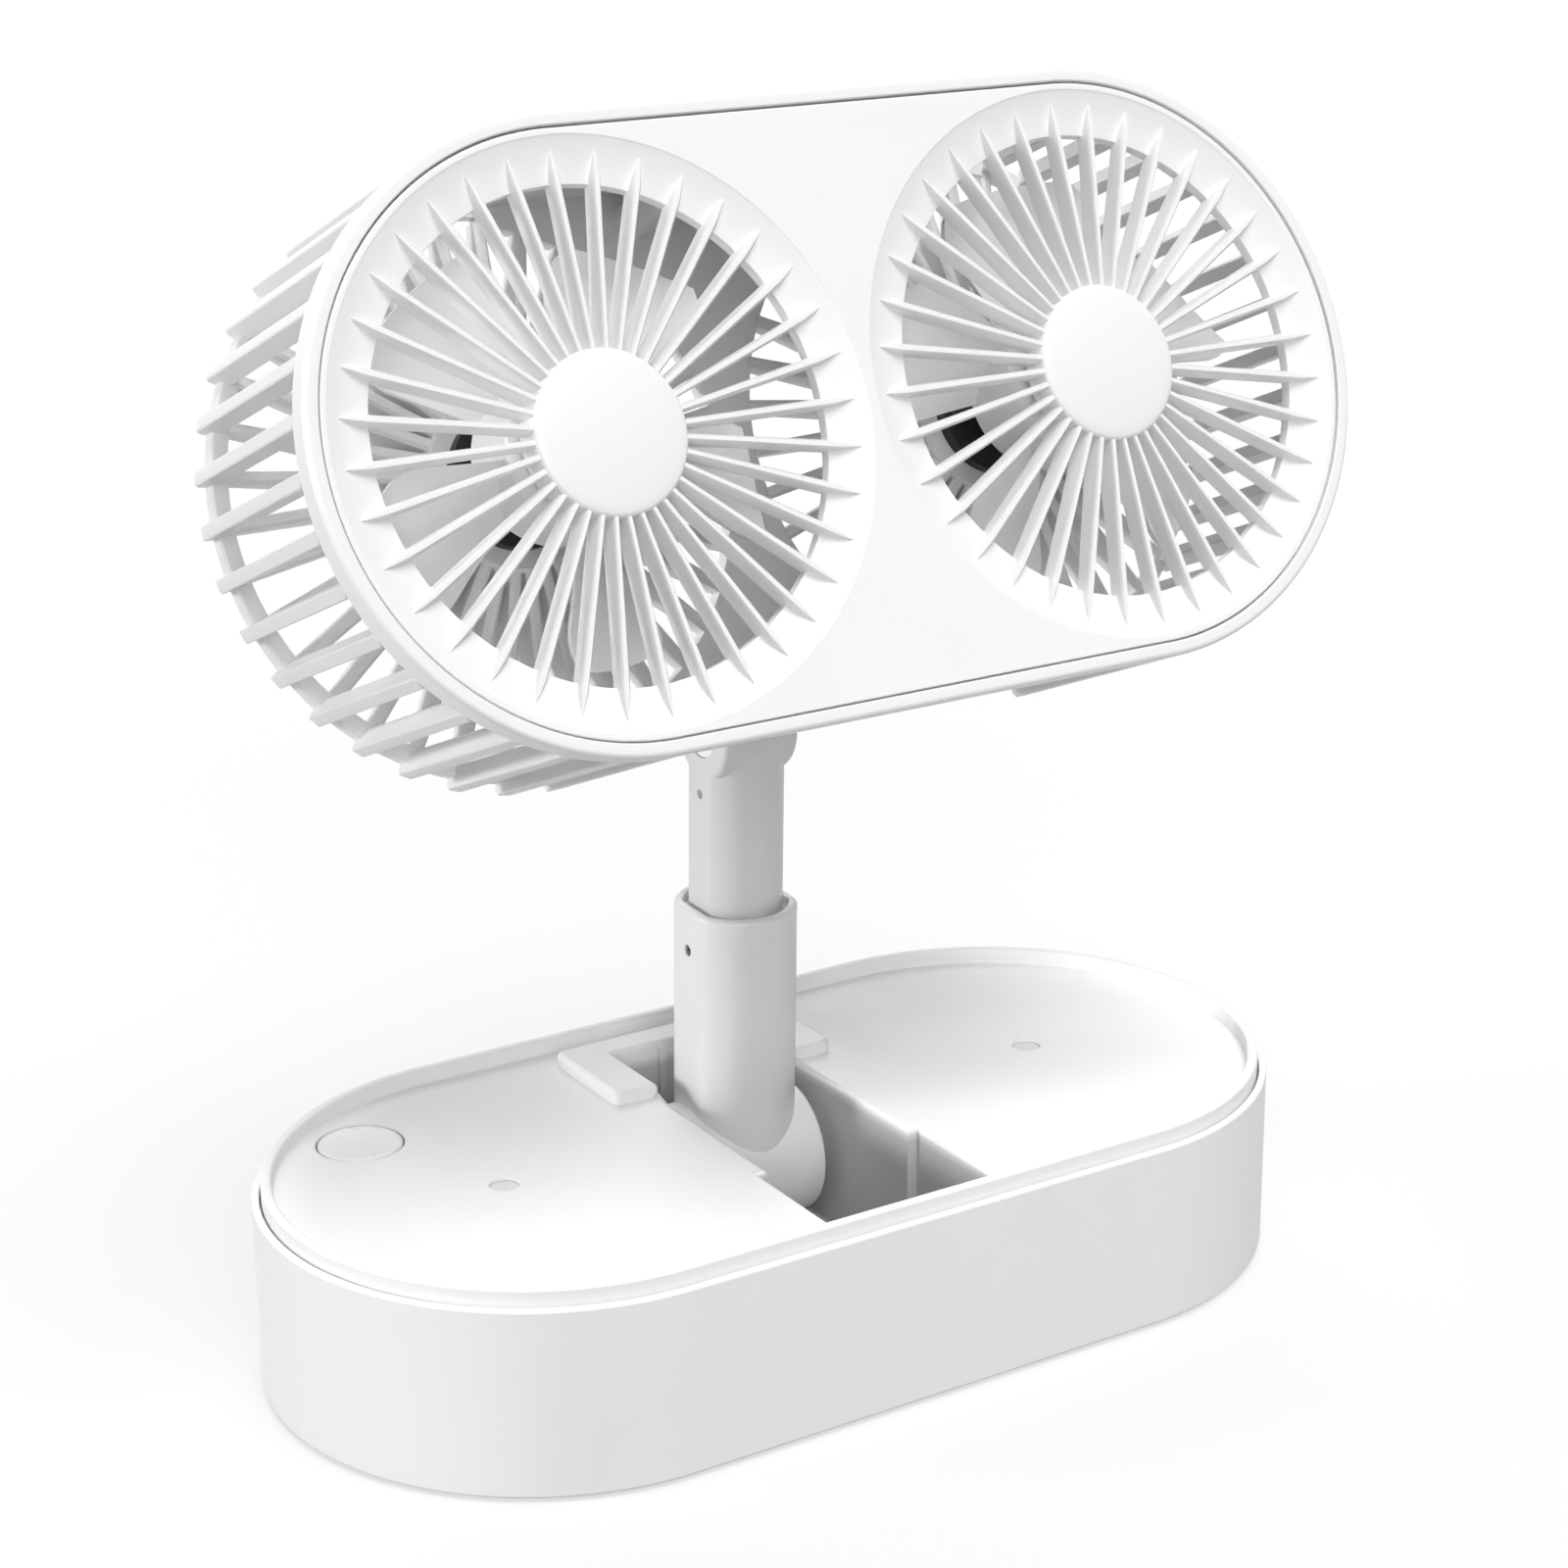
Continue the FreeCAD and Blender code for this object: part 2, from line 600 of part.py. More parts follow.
# Lower tube, a round bar with two flat sides on the pivot barrel, bored for the upper tube.
BORE = "tube_radius - tube_wall"
BORE_FLAT = "tube_flat - tube_wall"
BUSH_TOP = "tube_top - bush_inset"
BUSH_LOW = BUSH_TOP + " - bush_length"
ROD_LOW = BUSH_LOW + " - fit_gap - collar_length"
lower = cut(
    fuse(double_d("tube_radius", "tube_flat", "0", "tube_top"),
         rod("x", "barrel_radius", *mirrored("barrel_half"))),
    double_d(BORE, BORE_FLAT, ROD_LOW + " - pole_travel - moving_gap", "tube_top + overcut"),
    rod("x", "pivot_radius + running_gap", *mirrored("2 * barrel_half")),
    rod("x", "bush_pin_radius + running_gap", "-2 * tube_radius", "0", ("0", "bush_pin_height")),
)


def tube_mouth(edge):
    first, last = edge.ParameterRange
    point = edge.valueAt((first + last) / 2)
    outside = abs(abs(point.x) - val("tube_flat")) < 0.01
    outside = outside or abs(math.hypot(point.x, point.y) - val("tube_radius")) < 0.01
    return outside and edge.BoundBox.ZMin > val("tube_top") - 0.01


node("lower_tube", rounded(lower, "tube_edge", tube_mouth), pole)

# Guide bush in the mouth of the lower tube and the pin that holds it there.
node("guide_bush", cut(
    double_d(BORE + " - running_gap", BORE_FLAT + " - running_gap", BUSH_LOW, BUSH_TOP),
    double_d("rod_radius + running_gap", "rod_flat + running_gap", "0", "2 * tube_top"),
    rod("x", "bush_pin_radius + running_gap", "-2 * tube_radius", "0", ("0", "bush_pin_height"))), pole)
pin = rod("x", "bush_pin_radius", "-tube_flat + bush_pin_sunk", "-rod_flat - 3 * running_gap",
          ("0", "bush_pin_height"))
slit = box(("-2 * tube_flat", "-tube_flat + 2 * bush_pin_sunk"), mirrored("2 * bush_pin_radius"),
           ("bush_pin_height - bush_pin_sunk / 2", "bush_pin_height + bush_pin_sunk / 2"))
node("bush_pin", cut(pin, slit), pole)

# Upper tube with a collar inside the lower tube and a forked hinge barrel across its top.
EAR = "knuckle_half + moving_gap"
HINGE = ("0", "hinge_reach")
POCKET = "knuckle_radius + moving_gap"
PIN_SEAT = "rod_flat - pin_head_thick - moving_gap"
NUT_SEAT = "rod_flat - nut_thick - moving_gap"
barrel = rod("x", "hinge_radius", *mirrored("rod_flat"), HINGE)
back_slot = box(mirrored(EAR), ("0", "2 * hinge_radius"), ("hinge_reach", "hinge_reach + 2 * hinge_radius"))
back_slot.Placement.Rotation = FreeCAD.Rotation(FreeCAD.Vector(1, 0, 0), -val("fork_back"))
upper = cut(
    fuse(double_d("rod_radius", "rod_flat", ROD_LOW, "hinge_reach"),
         double_d(BORE + " - fit_gap", BORE_FLAT + " - fit_gap", ROD_LOW, ROD_LOW + " + collar_length"),
         rounded(barrel, "hinge_edge", lambda edge: edge.BoundBox.XLength < 0.01)),
    rod("z", "rod_bore", "0", "hinge_reach - hinge_radius - rod_bore / 2"),
    rod("z", "rod_bore / 2", "0", "hinge_reach"),
    rod("x", POCKET, *mirrored(EAR), HINGE),
    box(mirrored(EAR), mirrored("2 * hinge_radius"), ("hinge_reach", "hinge_reach + 2 * hinge_radius")),
    back_slot,
    rod("x", "hinge_pin_radius + running_gap", *mirrored("2 * rod_flat"), HINGE),
    rod("x", "pin_head + 2 * running_gap", "-2 * rod_flat", "-(%s)" % PIN_SEAT, HINGE),
    rod("x", "nut_radius + 2 * running_gap", NUT_SEAT, "2 * rod_flat", HINGE),
    rod("x", "clip_hole", "-2 * rod_flat", "-rod_flat + clip_hole", ("0", "clip_hole_height")),
)
node("upper_tube", upper, pole)

# Shoulder screw through the hinge and its nut.
SLOT_BOTTOM = "-(%s) - pin_head_thick / 2" % PIN_SEAT
node("hinge_pin", cut(
    fuse(rod("x", "hinge_pin_radius", "-(%s)" % PIN_SEAT, "rod_flat - moving_gap", HINGE),
         rod("x", "pin_head", "-(%s) - pin_head_thick" % PIN_SEAT, "-(%s)" % PIN_SEAT, HINGE)),
    box(("-2 * rod_flat", SLOT_BOTTOM), mirrored("pin_head * 2 / 3"),
        ("hinge_reach - slot_width / 2", "hinge_reach + slot_width / 2")),
    box(("-2 * rod_flat", SLOT_BOTTOM), mirrored("slot_width / 2"),
        ("hinge_reach - pin_head * 2 / 3", "hinge_reach + pin_head * 2 / 3"))), pole)
node("hinge_nut", cut(
    rod("x", "nut_radius", NUT_SEAT, NUT_SEAT + " + nut_thick", HINGE),
    rod("x", "hinge_pin_radius + running_gap", "0", "2 * rod_flat", HINGE)), pole)

# The head's own frame: X as in the base, Y to the back along its depth, Z up along its face.
turn = FreeCAD.Rotation(FreeCAD.Vector(1, 0, 0), -val("head_tilt"))
hinge = pole.multVec(FreeCAD.Vector(0, 0, val("hinge_reach")))
knuckle_spot = FreeCAD.Vector(0, val("hinge_setback"), -val("hinge_drop"))
head = FreeCAD.Placement(hinge - turn.multVec(knuckle_spot), turn)

# Bracket: a foot on the spine, an arm and the knuckle that turns in the fork of the pole.
KNUCKLE = ("hinge_setback", "-hinge_drop")
FOOT_BACK = "head_depth + bracket_thick"
FOOT_MIDDLE = "(bracket_low + bracket_high) / 2"
reach = FreeCAD.Vector(0, val(FOOT_BACK) - val("hinge_setback"), val("hinge_drop") - val(FOOT_MIDDLE))
arm = doc.addObject("Part::Box", "arm")
arm.setExpression("Length", full("2 * knuckle_half"))
arm.setExpression("Height", full("arm_thick"))
arm.Width = reach.Length + val("bracket_thick")
arm_start = FreeCAD.Vector(-val("knuckle_half"), 0, -val("arm_thick") / 2)
arm_turn = FreeCAD.Rotation(FreeCAD.Vector(1, 0, 0), math.degrees(math.atan2(reach.z, reach.y)))
arm.Placement = FreeCAD.Placement(knuckle_spot + arm_turn.multVec(arm_start), arm_turn)
BRACKET_SPOTS = [("-bracket_screw_x", "-(%s)" % FOOT_MIDDLE), ("bracket_screw_x", "-(%s)" % FOOT_MIDDLE)]
node("head_bracket", cut(
    fuse(box(mirrored("bracket_half"), ("head_depth", FOOT_BACK), ("-bracket_low", "-bracket_high")), arm,
         rod("x", "knuckle_radius", *mirrored("knuckle_half"), KNUCKLE)),
    box(mirrored("2 * bracket_half"), ("0", "head_depth"), ("-2 * bracket_low", "0")),
    rod("x", "hinge_pin_radius + running_gap", *mirrored("2 * knuckle_half"), KNUCKLE),
    *[rod("y", HOLE, "0", "2 * head_depth", spot) for spot in BRACKET_SPOTS]), head)
node("bracket_screws", group(*[
    screw("y", "screw_radius", "screw_head", "head_depth - bracket_boss", FOOT_BACK,
          FOOT_BACK + " + screw_head_thick", spot) for spot in BRACKET_SPOTS]), head)

# Bezel: the outer band of the face, with an inner ledge on which the front panel lies.
bezel = cut(
    stadium("y", "bezel_radius", "-bezel_crown", "bezel_depth"),
    stadium("y", "panel_radius + seam_gap", "-2 * bezel_depth", "panel_thick"),
    stadium("y", "panel_radius - panel_seat", "0", "2 * bezel_depth"),
)
node("bezel_frame", rounded(bezel, "bezel_edge", on_rim("y", "-bezel_crown", "bezel_radius")), head)

# Front panel: a flat stadium with two shallow dished rings, in each a hub cap on thin radial ribs.
FANS = ("-end_offset", "end_offset")
TOWERS = four("tower_x", "tower_z")
grilles = []
for fan in FANS:
    grille = doc.addObject("PartDesign::Body", "grille")
    revolve(grille, "XY_Plane", "V_Axis", [
        ("recess_radius + band_start", "0"), ("recess_radius", "band_start"), ("opening_radius", "band_depth"),
        ("opening_radius", "band_back"), ("band_foot", "panel_thick"),
        ("recess_radius + band_start", "panel_thick")])
    spokes(grille, "XY_Plane", [
        ("hub_radius - rib_width", "hub_edge_depth"), ("opening_radius", "hub_edge_depth"),
        ("rib_tip", "band_start + (band_depth - band_start) / 4"),
        ("opening_radius + rib_width", "rib_edge_depth"),
        ("opening_radius - rib_width", "rib_edge_depth"), ("hub_radius - rib_width", "rib_root_depth")],
        "rib_width", 360, "rib_count")
    revolve(grille, "XY_Plane", "V_Axis", [
        ("0", "-hub_crown"), ("hub_radius / 2", "-hub_crown * 3 / 4"), ("hub_radius * 6 / 7", "-hub_crown / 3"),
        ("hub_radius", "hub_edge_depth"), ("hub_radius", "hub_back"), ("0", "hub_back")])
    grille.Placement.Base.x = val(fan)
    grilles.append(grille)
plate = cut(
    fuse(stadium("y", "panel_radius", "0", "panel_thick"),
         *[rod("y", "tower_radius", "0", "tower_front", spot) for spot in TOWERS]),
    *[rod("y", "recess_radius", "-overcut", "2 * tower_front", (fan, "0")) for fan in FANS],
    *[rod("y", HOLE, "panel_thick / 2", "2 * tower_front", spot) for spot in TOWERS])
node("front_panel", fuse(plate, *grilles), head)

# Rear half of the head, moulded as one: round each fan the side fins and a rear grille that carries the motor,
# and between them the spine, a rear plate with a wall above and below, and the front hoop. The spine is open to
# both fans.
FIN_ENDS = (True, False)
fins, backs = [], []
for fan, backward in zip(FANS, FIN_ENDS):
    comb = doc.addObject("PartDesign::Body", "comb")
    comb.AllowCompound = True
    spokes(comb, "YZ_Plane", [
        ("bezel_depth", "fin_inner"), ("bezel_depth", "bezel_radius"),
        ("head_depth - fin_chamfer", "bezel_radius"), ("head_depth", "bezel_radius - fin_chamfer"),
        ("head_depth", "fin_inner")], "fin_thick", 180, "rib_count / 2 + 1", backward)
    back = doc.addObject("PartDesign::Body", "back")
    revolve(back, "YZ_Plane", "H_Axis", [
        ("head_depth - ring_depth", "ring_inner"), ("head_depth - ring_depth", "ring_outer"),
        ("head_depth", "ring_outer"), ("head_depth", "ring_inner")])
    spokes(back, "YZ_Plane", [
        ("mount_depth", "mount_radius - rear_rib"), ("head_depth - ring_depth", "ring_inner + rear_rib / 4"),
        ("head_depth", "ring_inner + rear_rib / 4"), ("head_depth", "mount_radius - rear_rib")],
        "rear_rib", 360, "rib_count")
    revolve(back, "YZ_Plane", "H_Axis", [
        ("mount_depth", "0"), ("mount_depth", "mount_radius"), ("head_depth", "mount_radius"),
        ("head_depth", "mount_dish"), ("head_depth - mount_dish_depth", "mount_dish"),
        ("head_depth - mount_dish_depth", "0")])
    for body in (comb, back):
        body.Placement.Base.x = val(fan)
    fins.append(comb)
    backs.append(back)

MOUNT_HOLES = [("%s %s motor_screw_x" % (fan, sign), "0") for fan in FANS for sign in "-+"]
hourglass = cut(
    box(mirrored("spine_half"), ("bezel_depth", "head_depth"), mirrored("spine_radius")),
    *[rod("y", "duct_radius", "-overcut", "2 * head_depth", (fan, "0")) for fan in FANS])
spine = fuse(
    cut(hourglass, box(mirrored("end_offset"), ("0", "head_depth - ring_depth"),
                       mirrored("spine_radius - spine_wall"))),
    *[rod("y", "tower_radius", "tower_front", "head_depth", spot) for spot in TOWERS],
    *[rod("y", "tower_radius", "head_depth - bracket_boss - spine_wall", "head_depth", spot)
      for spot in BRACKET_SPOTS])
hoop = cut(stadium("y", "hoop_outer", "bezel_depth", "bezel_depth + hoop_depth"),
           stadium("y", "hoop_inner", "0", "head_depth"))
node("rear_shell", cut(
    fuse(hoop, spine), *fins,
    *[rod("y", HOLE, "0", "head_depth", spot) for spot in TOWERS],
    *[rod("y", HEAD_HOLE, "tower_seat", "head_depth + overcut", spot) for spot in TOWERS],
    *[rod("y", HOLE, "head_depth - bracket_boss - overcut", "head_depth + overcut", spot)
      for spot in BRACKET_SPOTS]), head)
for side, comb, back in zip(("left", "right"), fins, backs):
    node("side_fins_" + side, group(comb), head)
    node("rear_grille_" + side, cut(
        back, comb, fuse(hourglass, hoop),
        *[rod("y", SMALL_HOLE, "mount_depth - overcut", "mount_depth + 2 * motor_flange", spot)
          for spot in MOUNT_HOLES]), head)
node("head_screws", group(*[
    screw("y", "screw_radius", "screw_head", "panel_thick", "tower_seat", "tower_seat + screw_head_thick", spot)
    for spot in TOWERS]), head)

# Motors: a flange on the mount, a stem with two bearings and a stator that sits inside the impeller's cup.
FLANGE = "mount_depth - motor_flange"
for side, fan in zip(("left", "right"), FANS):
    spot = (fan, "0")
    node("motor_" + side, cut(
        fuse(rod("y", "flange_radius", FLANGE, "mount_depth", spot),
             rod("y", "stem_radius", "stem_front", "mount_depth", spot),
             rod("y", "stator_radius", "stator_front", "stator_front + stator_length", spot)),
        rod("y", "bearing_radius + running_gap", "0", "shaft_end + moving_gap", spot),
        *[rod("y", SMALL_HOLE, "0", "head_depth", hole) for hole in MOUNT_HOLES]), head)
node("motor_screws", group(*[
    screw("y", "small_screw", "small_head", "mount_depth + motor_flange", FLANGE,
          FLANGE + " - screw_head_thick", spot) for spot in MOUNT_HOLES]), head)
BEARINGS = ("stem_front + running_gap", FLANGE + " - bearing_length")
node("motor_bearings", group(*[
    cut(rod("y", "bearing_radius", start, start + " + bearing_length", (fan, "0")),
        rod("y", "shaft_radius + running_gap", "0", "head_depth", (fan, "0")))
    for fan in FANS for start in BEARINGS]), head)


def blade(angle):
    """One twisted blade, lofted through three curved sections and turned round the fan's axis."""
    wires = []
    root = val("cup_radius - cup_wall / 2")
    for share in (0.0, 0.5, 1.0):
        radius = root + share * (val("blade_tip + blade_thick") - root)
        chord = val("root_chord") + share * val("tip_chord - root_chord")
        pitch = math.radians(val("root_pitch") + share * val("tip_pitch - root_pitch"))
        along = FreeCAD.Vector(0, math.sin(pitch), math.cos(pitch))
        across = FreeCAD.Vector(0, math.cos(pitch), -math.sin(pitch))
        centre = FreeCAD.Vector(radius, val("blade_middle"), 0)
        half = along * (chord / 2)
        bulge = across * (val("blade_camber") * (0.3 + share))
        skin = across * (val("blade_thick") / 2)
        front = [centre - half - skin, centre + bulge - skin, centre + half - skin]
        back = [centre + half + skin, centre + bulge + skin, centre - half + skin]
        wires.append(Part.Wire([
            Part.Arc(*front).toShape(), Part.LineSegment(front[2], back[0]).toShape(),
            Part.Arc(*back).toShape(), Part.LineSegment(back[2], front[0]).toShape()]))
    shape = doc.addObject("Part::Feature", "blade")
    loft = Part.makeLoft(wires, True, False)
    loft.rotate(FreeCAD.Vector(), FreeCAD.Vector(0, 1, 0), -angle)
    shape.Shape = loft
    return shape


# Impellers: a cup over the motor with five broad twisted blades, and the shaft pressed into its boss.
for side, fan in zip(("left", "right"), FANS):
    count = int(val("blade_count"))
    vanes = [blade(val(side + "_phase") + 360.0 * i / count) for i in range(count)]
    for vane in vanes:
        vane.Placement.Base.x = val(fan)
    spot = (fan, "0")
    wheel = fuse(
        rod("y", "cup_radius", "cup_front", "cup_front + cup_length", spot),
        common(fuse(*vanes), rod("y", "blade_tip", "0", "head_depth", spot)))
    cup = cut(wheel, rod("y", "cup_radius - cup_wall", "cup_front + cup_wall", "head_depth", spot))
    node("impeller_" + side, cut(
        fuse(cup, rod("y", "cup_boss", "cup_front", "cup_boss_back", spot)),
        rod("y", "shaft_radius + press_gap", "shaft_front", "head_depth", spot)), head)
    node("shaft_" + side, group(rod("y", "shaft_radius", "shaft_front", "shaft_end", spot)), head)

doc.recompute()
for item in doc.Objects:
    if "Invalid" in item.State or "Error" in item.State:
        raise SystemExit("%s failed" % item.Label)
for item in nodes:
    if item.Shape.isNull() or not item.Shape.isValid():
        raise SystemExit("%s has no valid shape" % item.Label)
os.makedirs("parts", exist_ok=True)
for item in nodes:
    item.Shape.exportStep("parts/%s.step" % item.Label)
    print("%s: %d solid, %.1f mm3" % (item.Label, len(item.Shape.Solids), item.Shape.Volume))
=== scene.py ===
import math

import bmesh
import bpy
from mathutils import Matrix, Vector


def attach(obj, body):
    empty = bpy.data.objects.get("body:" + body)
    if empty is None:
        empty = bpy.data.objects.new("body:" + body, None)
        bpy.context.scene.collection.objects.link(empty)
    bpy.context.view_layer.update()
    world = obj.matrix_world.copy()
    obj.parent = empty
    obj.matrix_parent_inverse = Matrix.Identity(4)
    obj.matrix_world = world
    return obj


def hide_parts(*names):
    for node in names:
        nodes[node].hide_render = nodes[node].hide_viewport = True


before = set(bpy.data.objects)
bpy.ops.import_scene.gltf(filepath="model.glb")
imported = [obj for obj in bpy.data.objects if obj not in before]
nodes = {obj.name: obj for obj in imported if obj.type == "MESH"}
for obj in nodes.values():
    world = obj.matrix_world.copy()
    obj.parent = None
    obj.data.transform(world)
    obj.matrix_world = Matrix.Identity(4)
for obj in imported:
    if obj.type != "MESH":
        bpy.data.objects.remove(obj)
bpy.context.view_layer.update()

# Outer wall of the base: one rounded band of white ABS, moulded with a ledge for the deck at the top and a
# step for the bottom plate. The usb opening is cut in its back. Lengths are in millimetres, until a piece is
# set in its place.
MM = 0.001
NEAR = 0.02                 # places closer than this count as one
WELD, SLIVER, SHARP_ANGLE = 0.002, 0.0005, 38.0
END = 50.0                  # from the middle to the centre of each rounded end
WALL_RADIUS, WALL_INSIDE = 53.18, 50.4
WALL_LOW, WALL_TOP, WALL_EDGE = 0.8, 36.4, 0.6
DECK_LEDGE, LEDGE_RADIUS, LEDGE_EDGE = 32.0, 51.75, 0.2
PLATE_STEP, STEP_RADIUS = 3.2, 51.4
USB_SLOT = ((43.23, 52.77), (8.5, 12.36))    # along the wall and upward
SLOT_BEHIND, SLOT_DEEP, SLOT_CORNER = 49.0, 2.0, 1.5
ROUND_STEPS = 144


def is_edge(item):
    return isinstance(item, bmesh.types.BMEdge)


def is_vert(item):
    return isinstance(item, bmesh.types.BMVert)


def ring_edges(verts):
    return list({e for v in verts for e in v.link_edges})


def split(bm, geom, spot, normal, **options):
    """Cuts edges into geometry along a plane."""
    cut = bmesh.ops.bisect_plane(bm, geom=geom, plane_co=spot, plane_no=normal, dist=0.0001, **options)
    return cut["geom"]


def stadium_loop(bm, radius, height, steps=ROUND_STEPS):
    """A closed loop of edges: a circle whose two halves are moved apart to the ends."""
    ring = bmesh.ops.create_circle(bm, cap_ends=False, radius=radius, segments=steps)["verts"]
    bmesh.ops.rotate(bm, verts=ring, matrix=Matrix.Rotation(math.pi / steps, 3, "Z"))
    for side in (-1, 1):
        half = [v for v in ring if v.co.x * side > 0]
        bmesh.ops.translate(bm, verts=half, vec=(side * END, 0, height))
    return ring_edges(ring)


def doubled(bm, edges):
    """Extrudes a run of edges in place and gives the new edges and their corners."""
    made = bmesh.ops.extrude_edge_only(bm, edges=edges)["geom"]
    fresh = {item for item in made if is_vert(item)}
    return [item for item in made if is_edge(item) and fresh.issuperset(item.verts)], fresh


def draw_out(bm, loop, profile, centre=None):
    """Extrudes a loop from one (radius, height) of a profile to the next, round both ends or one centre."""
    for radius, height in profile:
        loop, fresh = doubled(bm, loop)
        for v in fresh:
            middle = Vector(centre) if centre else Vector((math.copysign(END, v.co.x), 0))
            spoke = (v.co.xy - middle.xy).normalized() * radius
            v.co = (middle.x + spoke.x, middle.y + spoke.y, height)
    return loop


def rounding(radius_from, radius_to, height_from, height_to, level_first, steps=3):
    """Points of a quarter round between two places of a profile, leaving the first one level or upright."""
    points = []
    for step in range(1, steps + 1):
        turn = math.pi / 2 * step / steps
        level, upright = math.sin(turn), 1 - math.cos(turn)
        if not level_first:
            level, upright = upright, level
        points.append((radius_from + (radius_to - radius_from) * level,
                       height_from + (height_to - height_from) * upright))
    return points


def soften(bm, edges, width, segments=3):
    bmesh.ops.bevel(bm, geom=edges, offset=width, offset_type="OFFSET", segments=segments, profile=0.5,
                    affect="EDGES", material=-1, clamp_overlap=True)


def set_piece(name, bm, material, body, replaced, place=None):
    """Sets a finished mesh in its place on the object, with its finish and the body that it moves with."""
    bmesh.ops.remove_doubles(bm, verts=bm.verts, dist=WELD)
    bmesh.ops.dissolve_degenerate(bm, edges=bm.edges, dist=SLIVER)
    bmesh.ops.recalc_face_normals(bm, faces=bm.faces)
    bmesh.ops.transform(bm, matrix=Matrix.Scale(MM, 4) @ (place or Matrix()), verts=bm.verts)
    mesh = bpy.data.meshes.new(name)
    bm.to_mesh(mesh)
    bm.free()
    mesh.shade_smooth()
    mesh.set_sharp_from_angle(angle=math.radians(SHARP_ANGLE))
    mesh.materials.append(material)
    piece = bpy.data.objects.new(name, mesh)
    bpy.context.scene.collection.objects.link(piece)
    even = piece.modifiers.new("even_faces", "WEIGHTED_NORMAL")
    even.keep_sharp = True
    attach(piece, body)
    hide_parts(replaced)


def add_node(tree, kind, **inputs):
    """A shader node with some of its sockets set or linked."""
    node = tree.nodes.new("ShaderNode" + kind)
    for socket, value in inputs.items():
        socket = node.inputs[socket.replace("_", " ")]
        if isinstance(value, bpy.types.NodeSocket):
            tree.links.new(value, socket)
        else:
            socket.default_value = value
    return node


def new_finish(name):
    """A new material with its nodes, its shader and the place on the piece that its patterns follow."""
    material = bpy.data.materials.new(name)
    material.use_nodes = True
    tree = material.node_tree
    return material, tree, tree.nodes["Principled BSDF"], add_node(tree, "TexCoord").outputs["Object"]


def two_tones(tree, shader, pattern, dark, pale, dark_to=0.0, pale_from=1.0):
    """Colours a shader between two tones, as a pattern goes from low to high."""
    ramp = add_node(tree, "ValToRGB", Fac=pattern.outputs["Fac"])
    for stop, tone, spot in zip(ramp.color_ramp.elements, (dark, pale), (dark_to, pale_from)):
        stop.position = spot
        stop.color = (*tone, 1)
    tree.links.new(ramp.outputs["Color"], shader.inputs["Base Color"])


def moulded_plastic(name, pale, shaded, rough, grain=0.05, mottle=22.0):
    """Moulded plastic: a faint cloud in the resin's colour, spark-eroded grain and uneven sheen."""
    material, tree, shader, place = new_finish(name)
    cloud = add_node(tree, "TexNoise", Vector=place, Scale=mottle, Detail=3.0, Roughness=0.55)
    two_tones(tree, shader, cloud, shaded, pale, 0.3, 0.7)
    spark = add_node(tree, "TexNoise", Vector=place, Scale=2400.0, Detail=2.0, Roughness=0.6)
    handled = add_node(tree, "TexNoise", Vector=place, Scale=70.0, Detail=4.0, Roughness=0.65)
    sheen = add_node(tree, "MapRange", Value=handled.outputs["Fac"], From_Min=0.35, From_Max=0.65,
                     To_Min=rough[0], To_Max=rough[1])
    tree.links.new(sheen.outputs["Result"], shader.inputs["Roughness"])
    bump = add_node(tree, "Bump", Strength=grain, Distance=0.00004, Height=spark.outputs["Fac"])
    tree.links.new(bump.outputs["Normal"], shader.inputs["Normal"])
    shader.inputs["IOR"].default_value = 1.5
    return material


base_white = moulded_plastic("base_white_satin", (0.905, 0.905, 0.9), (0.885, 0.886, 0.885), (0.36, 0.44))
bm = bmesh.new()
start = stadium_loop(bm, WALL_RADIUS - WALL_EDGE, WALL_LOW)
last = draw_out(bm, start, (
    *rounding(WALL_RADIUS - WALL_EDGE, WALL_RADIUS, WALL_LOW, WALL_LOW + WALL_EDGE, True),
    (WALL_RADIUS, WALL_TOP - WALL_EDGE),
    *rounding(WALL_RADIUS, WALL_RADIUS - WALL_EDGE, WALL_TOP - WALL_EDGE, WALL_TOP, False),
    (LEDGE_RADIUS + LEDGE_EDGE, WALL_TOP), (LEDGE_RADIUS, WALL_TOP - LEDGE_EDGE),
    (LEDGE_RADIUS, DECK_LEDGE), (WALL_INSIDE, DECK_LEDGE), (WALL_INSIDE, PLATE_STEP),
    (STEP_RADIUS, PLATE_STEP), (STEP_RADIUS, WALL_LOW)))
bmesh.ops.bridge_loops(bm, edges=start + last)
for axis, levels in zip((0, 2), USB_SLOT):
    for level in levels:
        normal = Vector([float(i == axis) for i in range(3)])
        split(bm, [*bm.verts, *bm.edges, *bm.faces], normal * level, normal)
slot_faces = [f for f in bm.faces if f.calc_center_median().y > SLOT_BEHIND
              and all(low < f.calc_center_median()[axis] < high
                      for axis, (low, high) in zip((0, 2), USB_SLOT))]
bmesh.ops.delete(bm, geom=slot_faces, context="FACES")
rims = [e for e in bm.edges if e.is_boundary]
bmesh.ops.bridge_loops(bm, edges=rims)
throat = [e for e in bm.edges if abs(e.verts[0].co.y - e.verts[1].co.y) > SLOT_DEEP
          and any(abs(e.verts[0].co.x - x) < NEAR for x in USB_SLOT[0])
          and any(abs(e.verts[0].co.z - z) < NEAR for z in USB_SLOT[1])]
soften(bm, throat, SLOT_CORNER, 5)
set_piece("base_wall", bm, base_white, "base", "base_shell")

# Bottom plate: a flat tray of the same white plastic, screwed up into the deck's bosses from below, with a
# soft grey silicone pad glued over it and over the heads of its four screws.
def give(material, *names):
    """Gives nodes of the frame their finish."""
    for name in names:
        nodes[name].material_slots[0].material = material


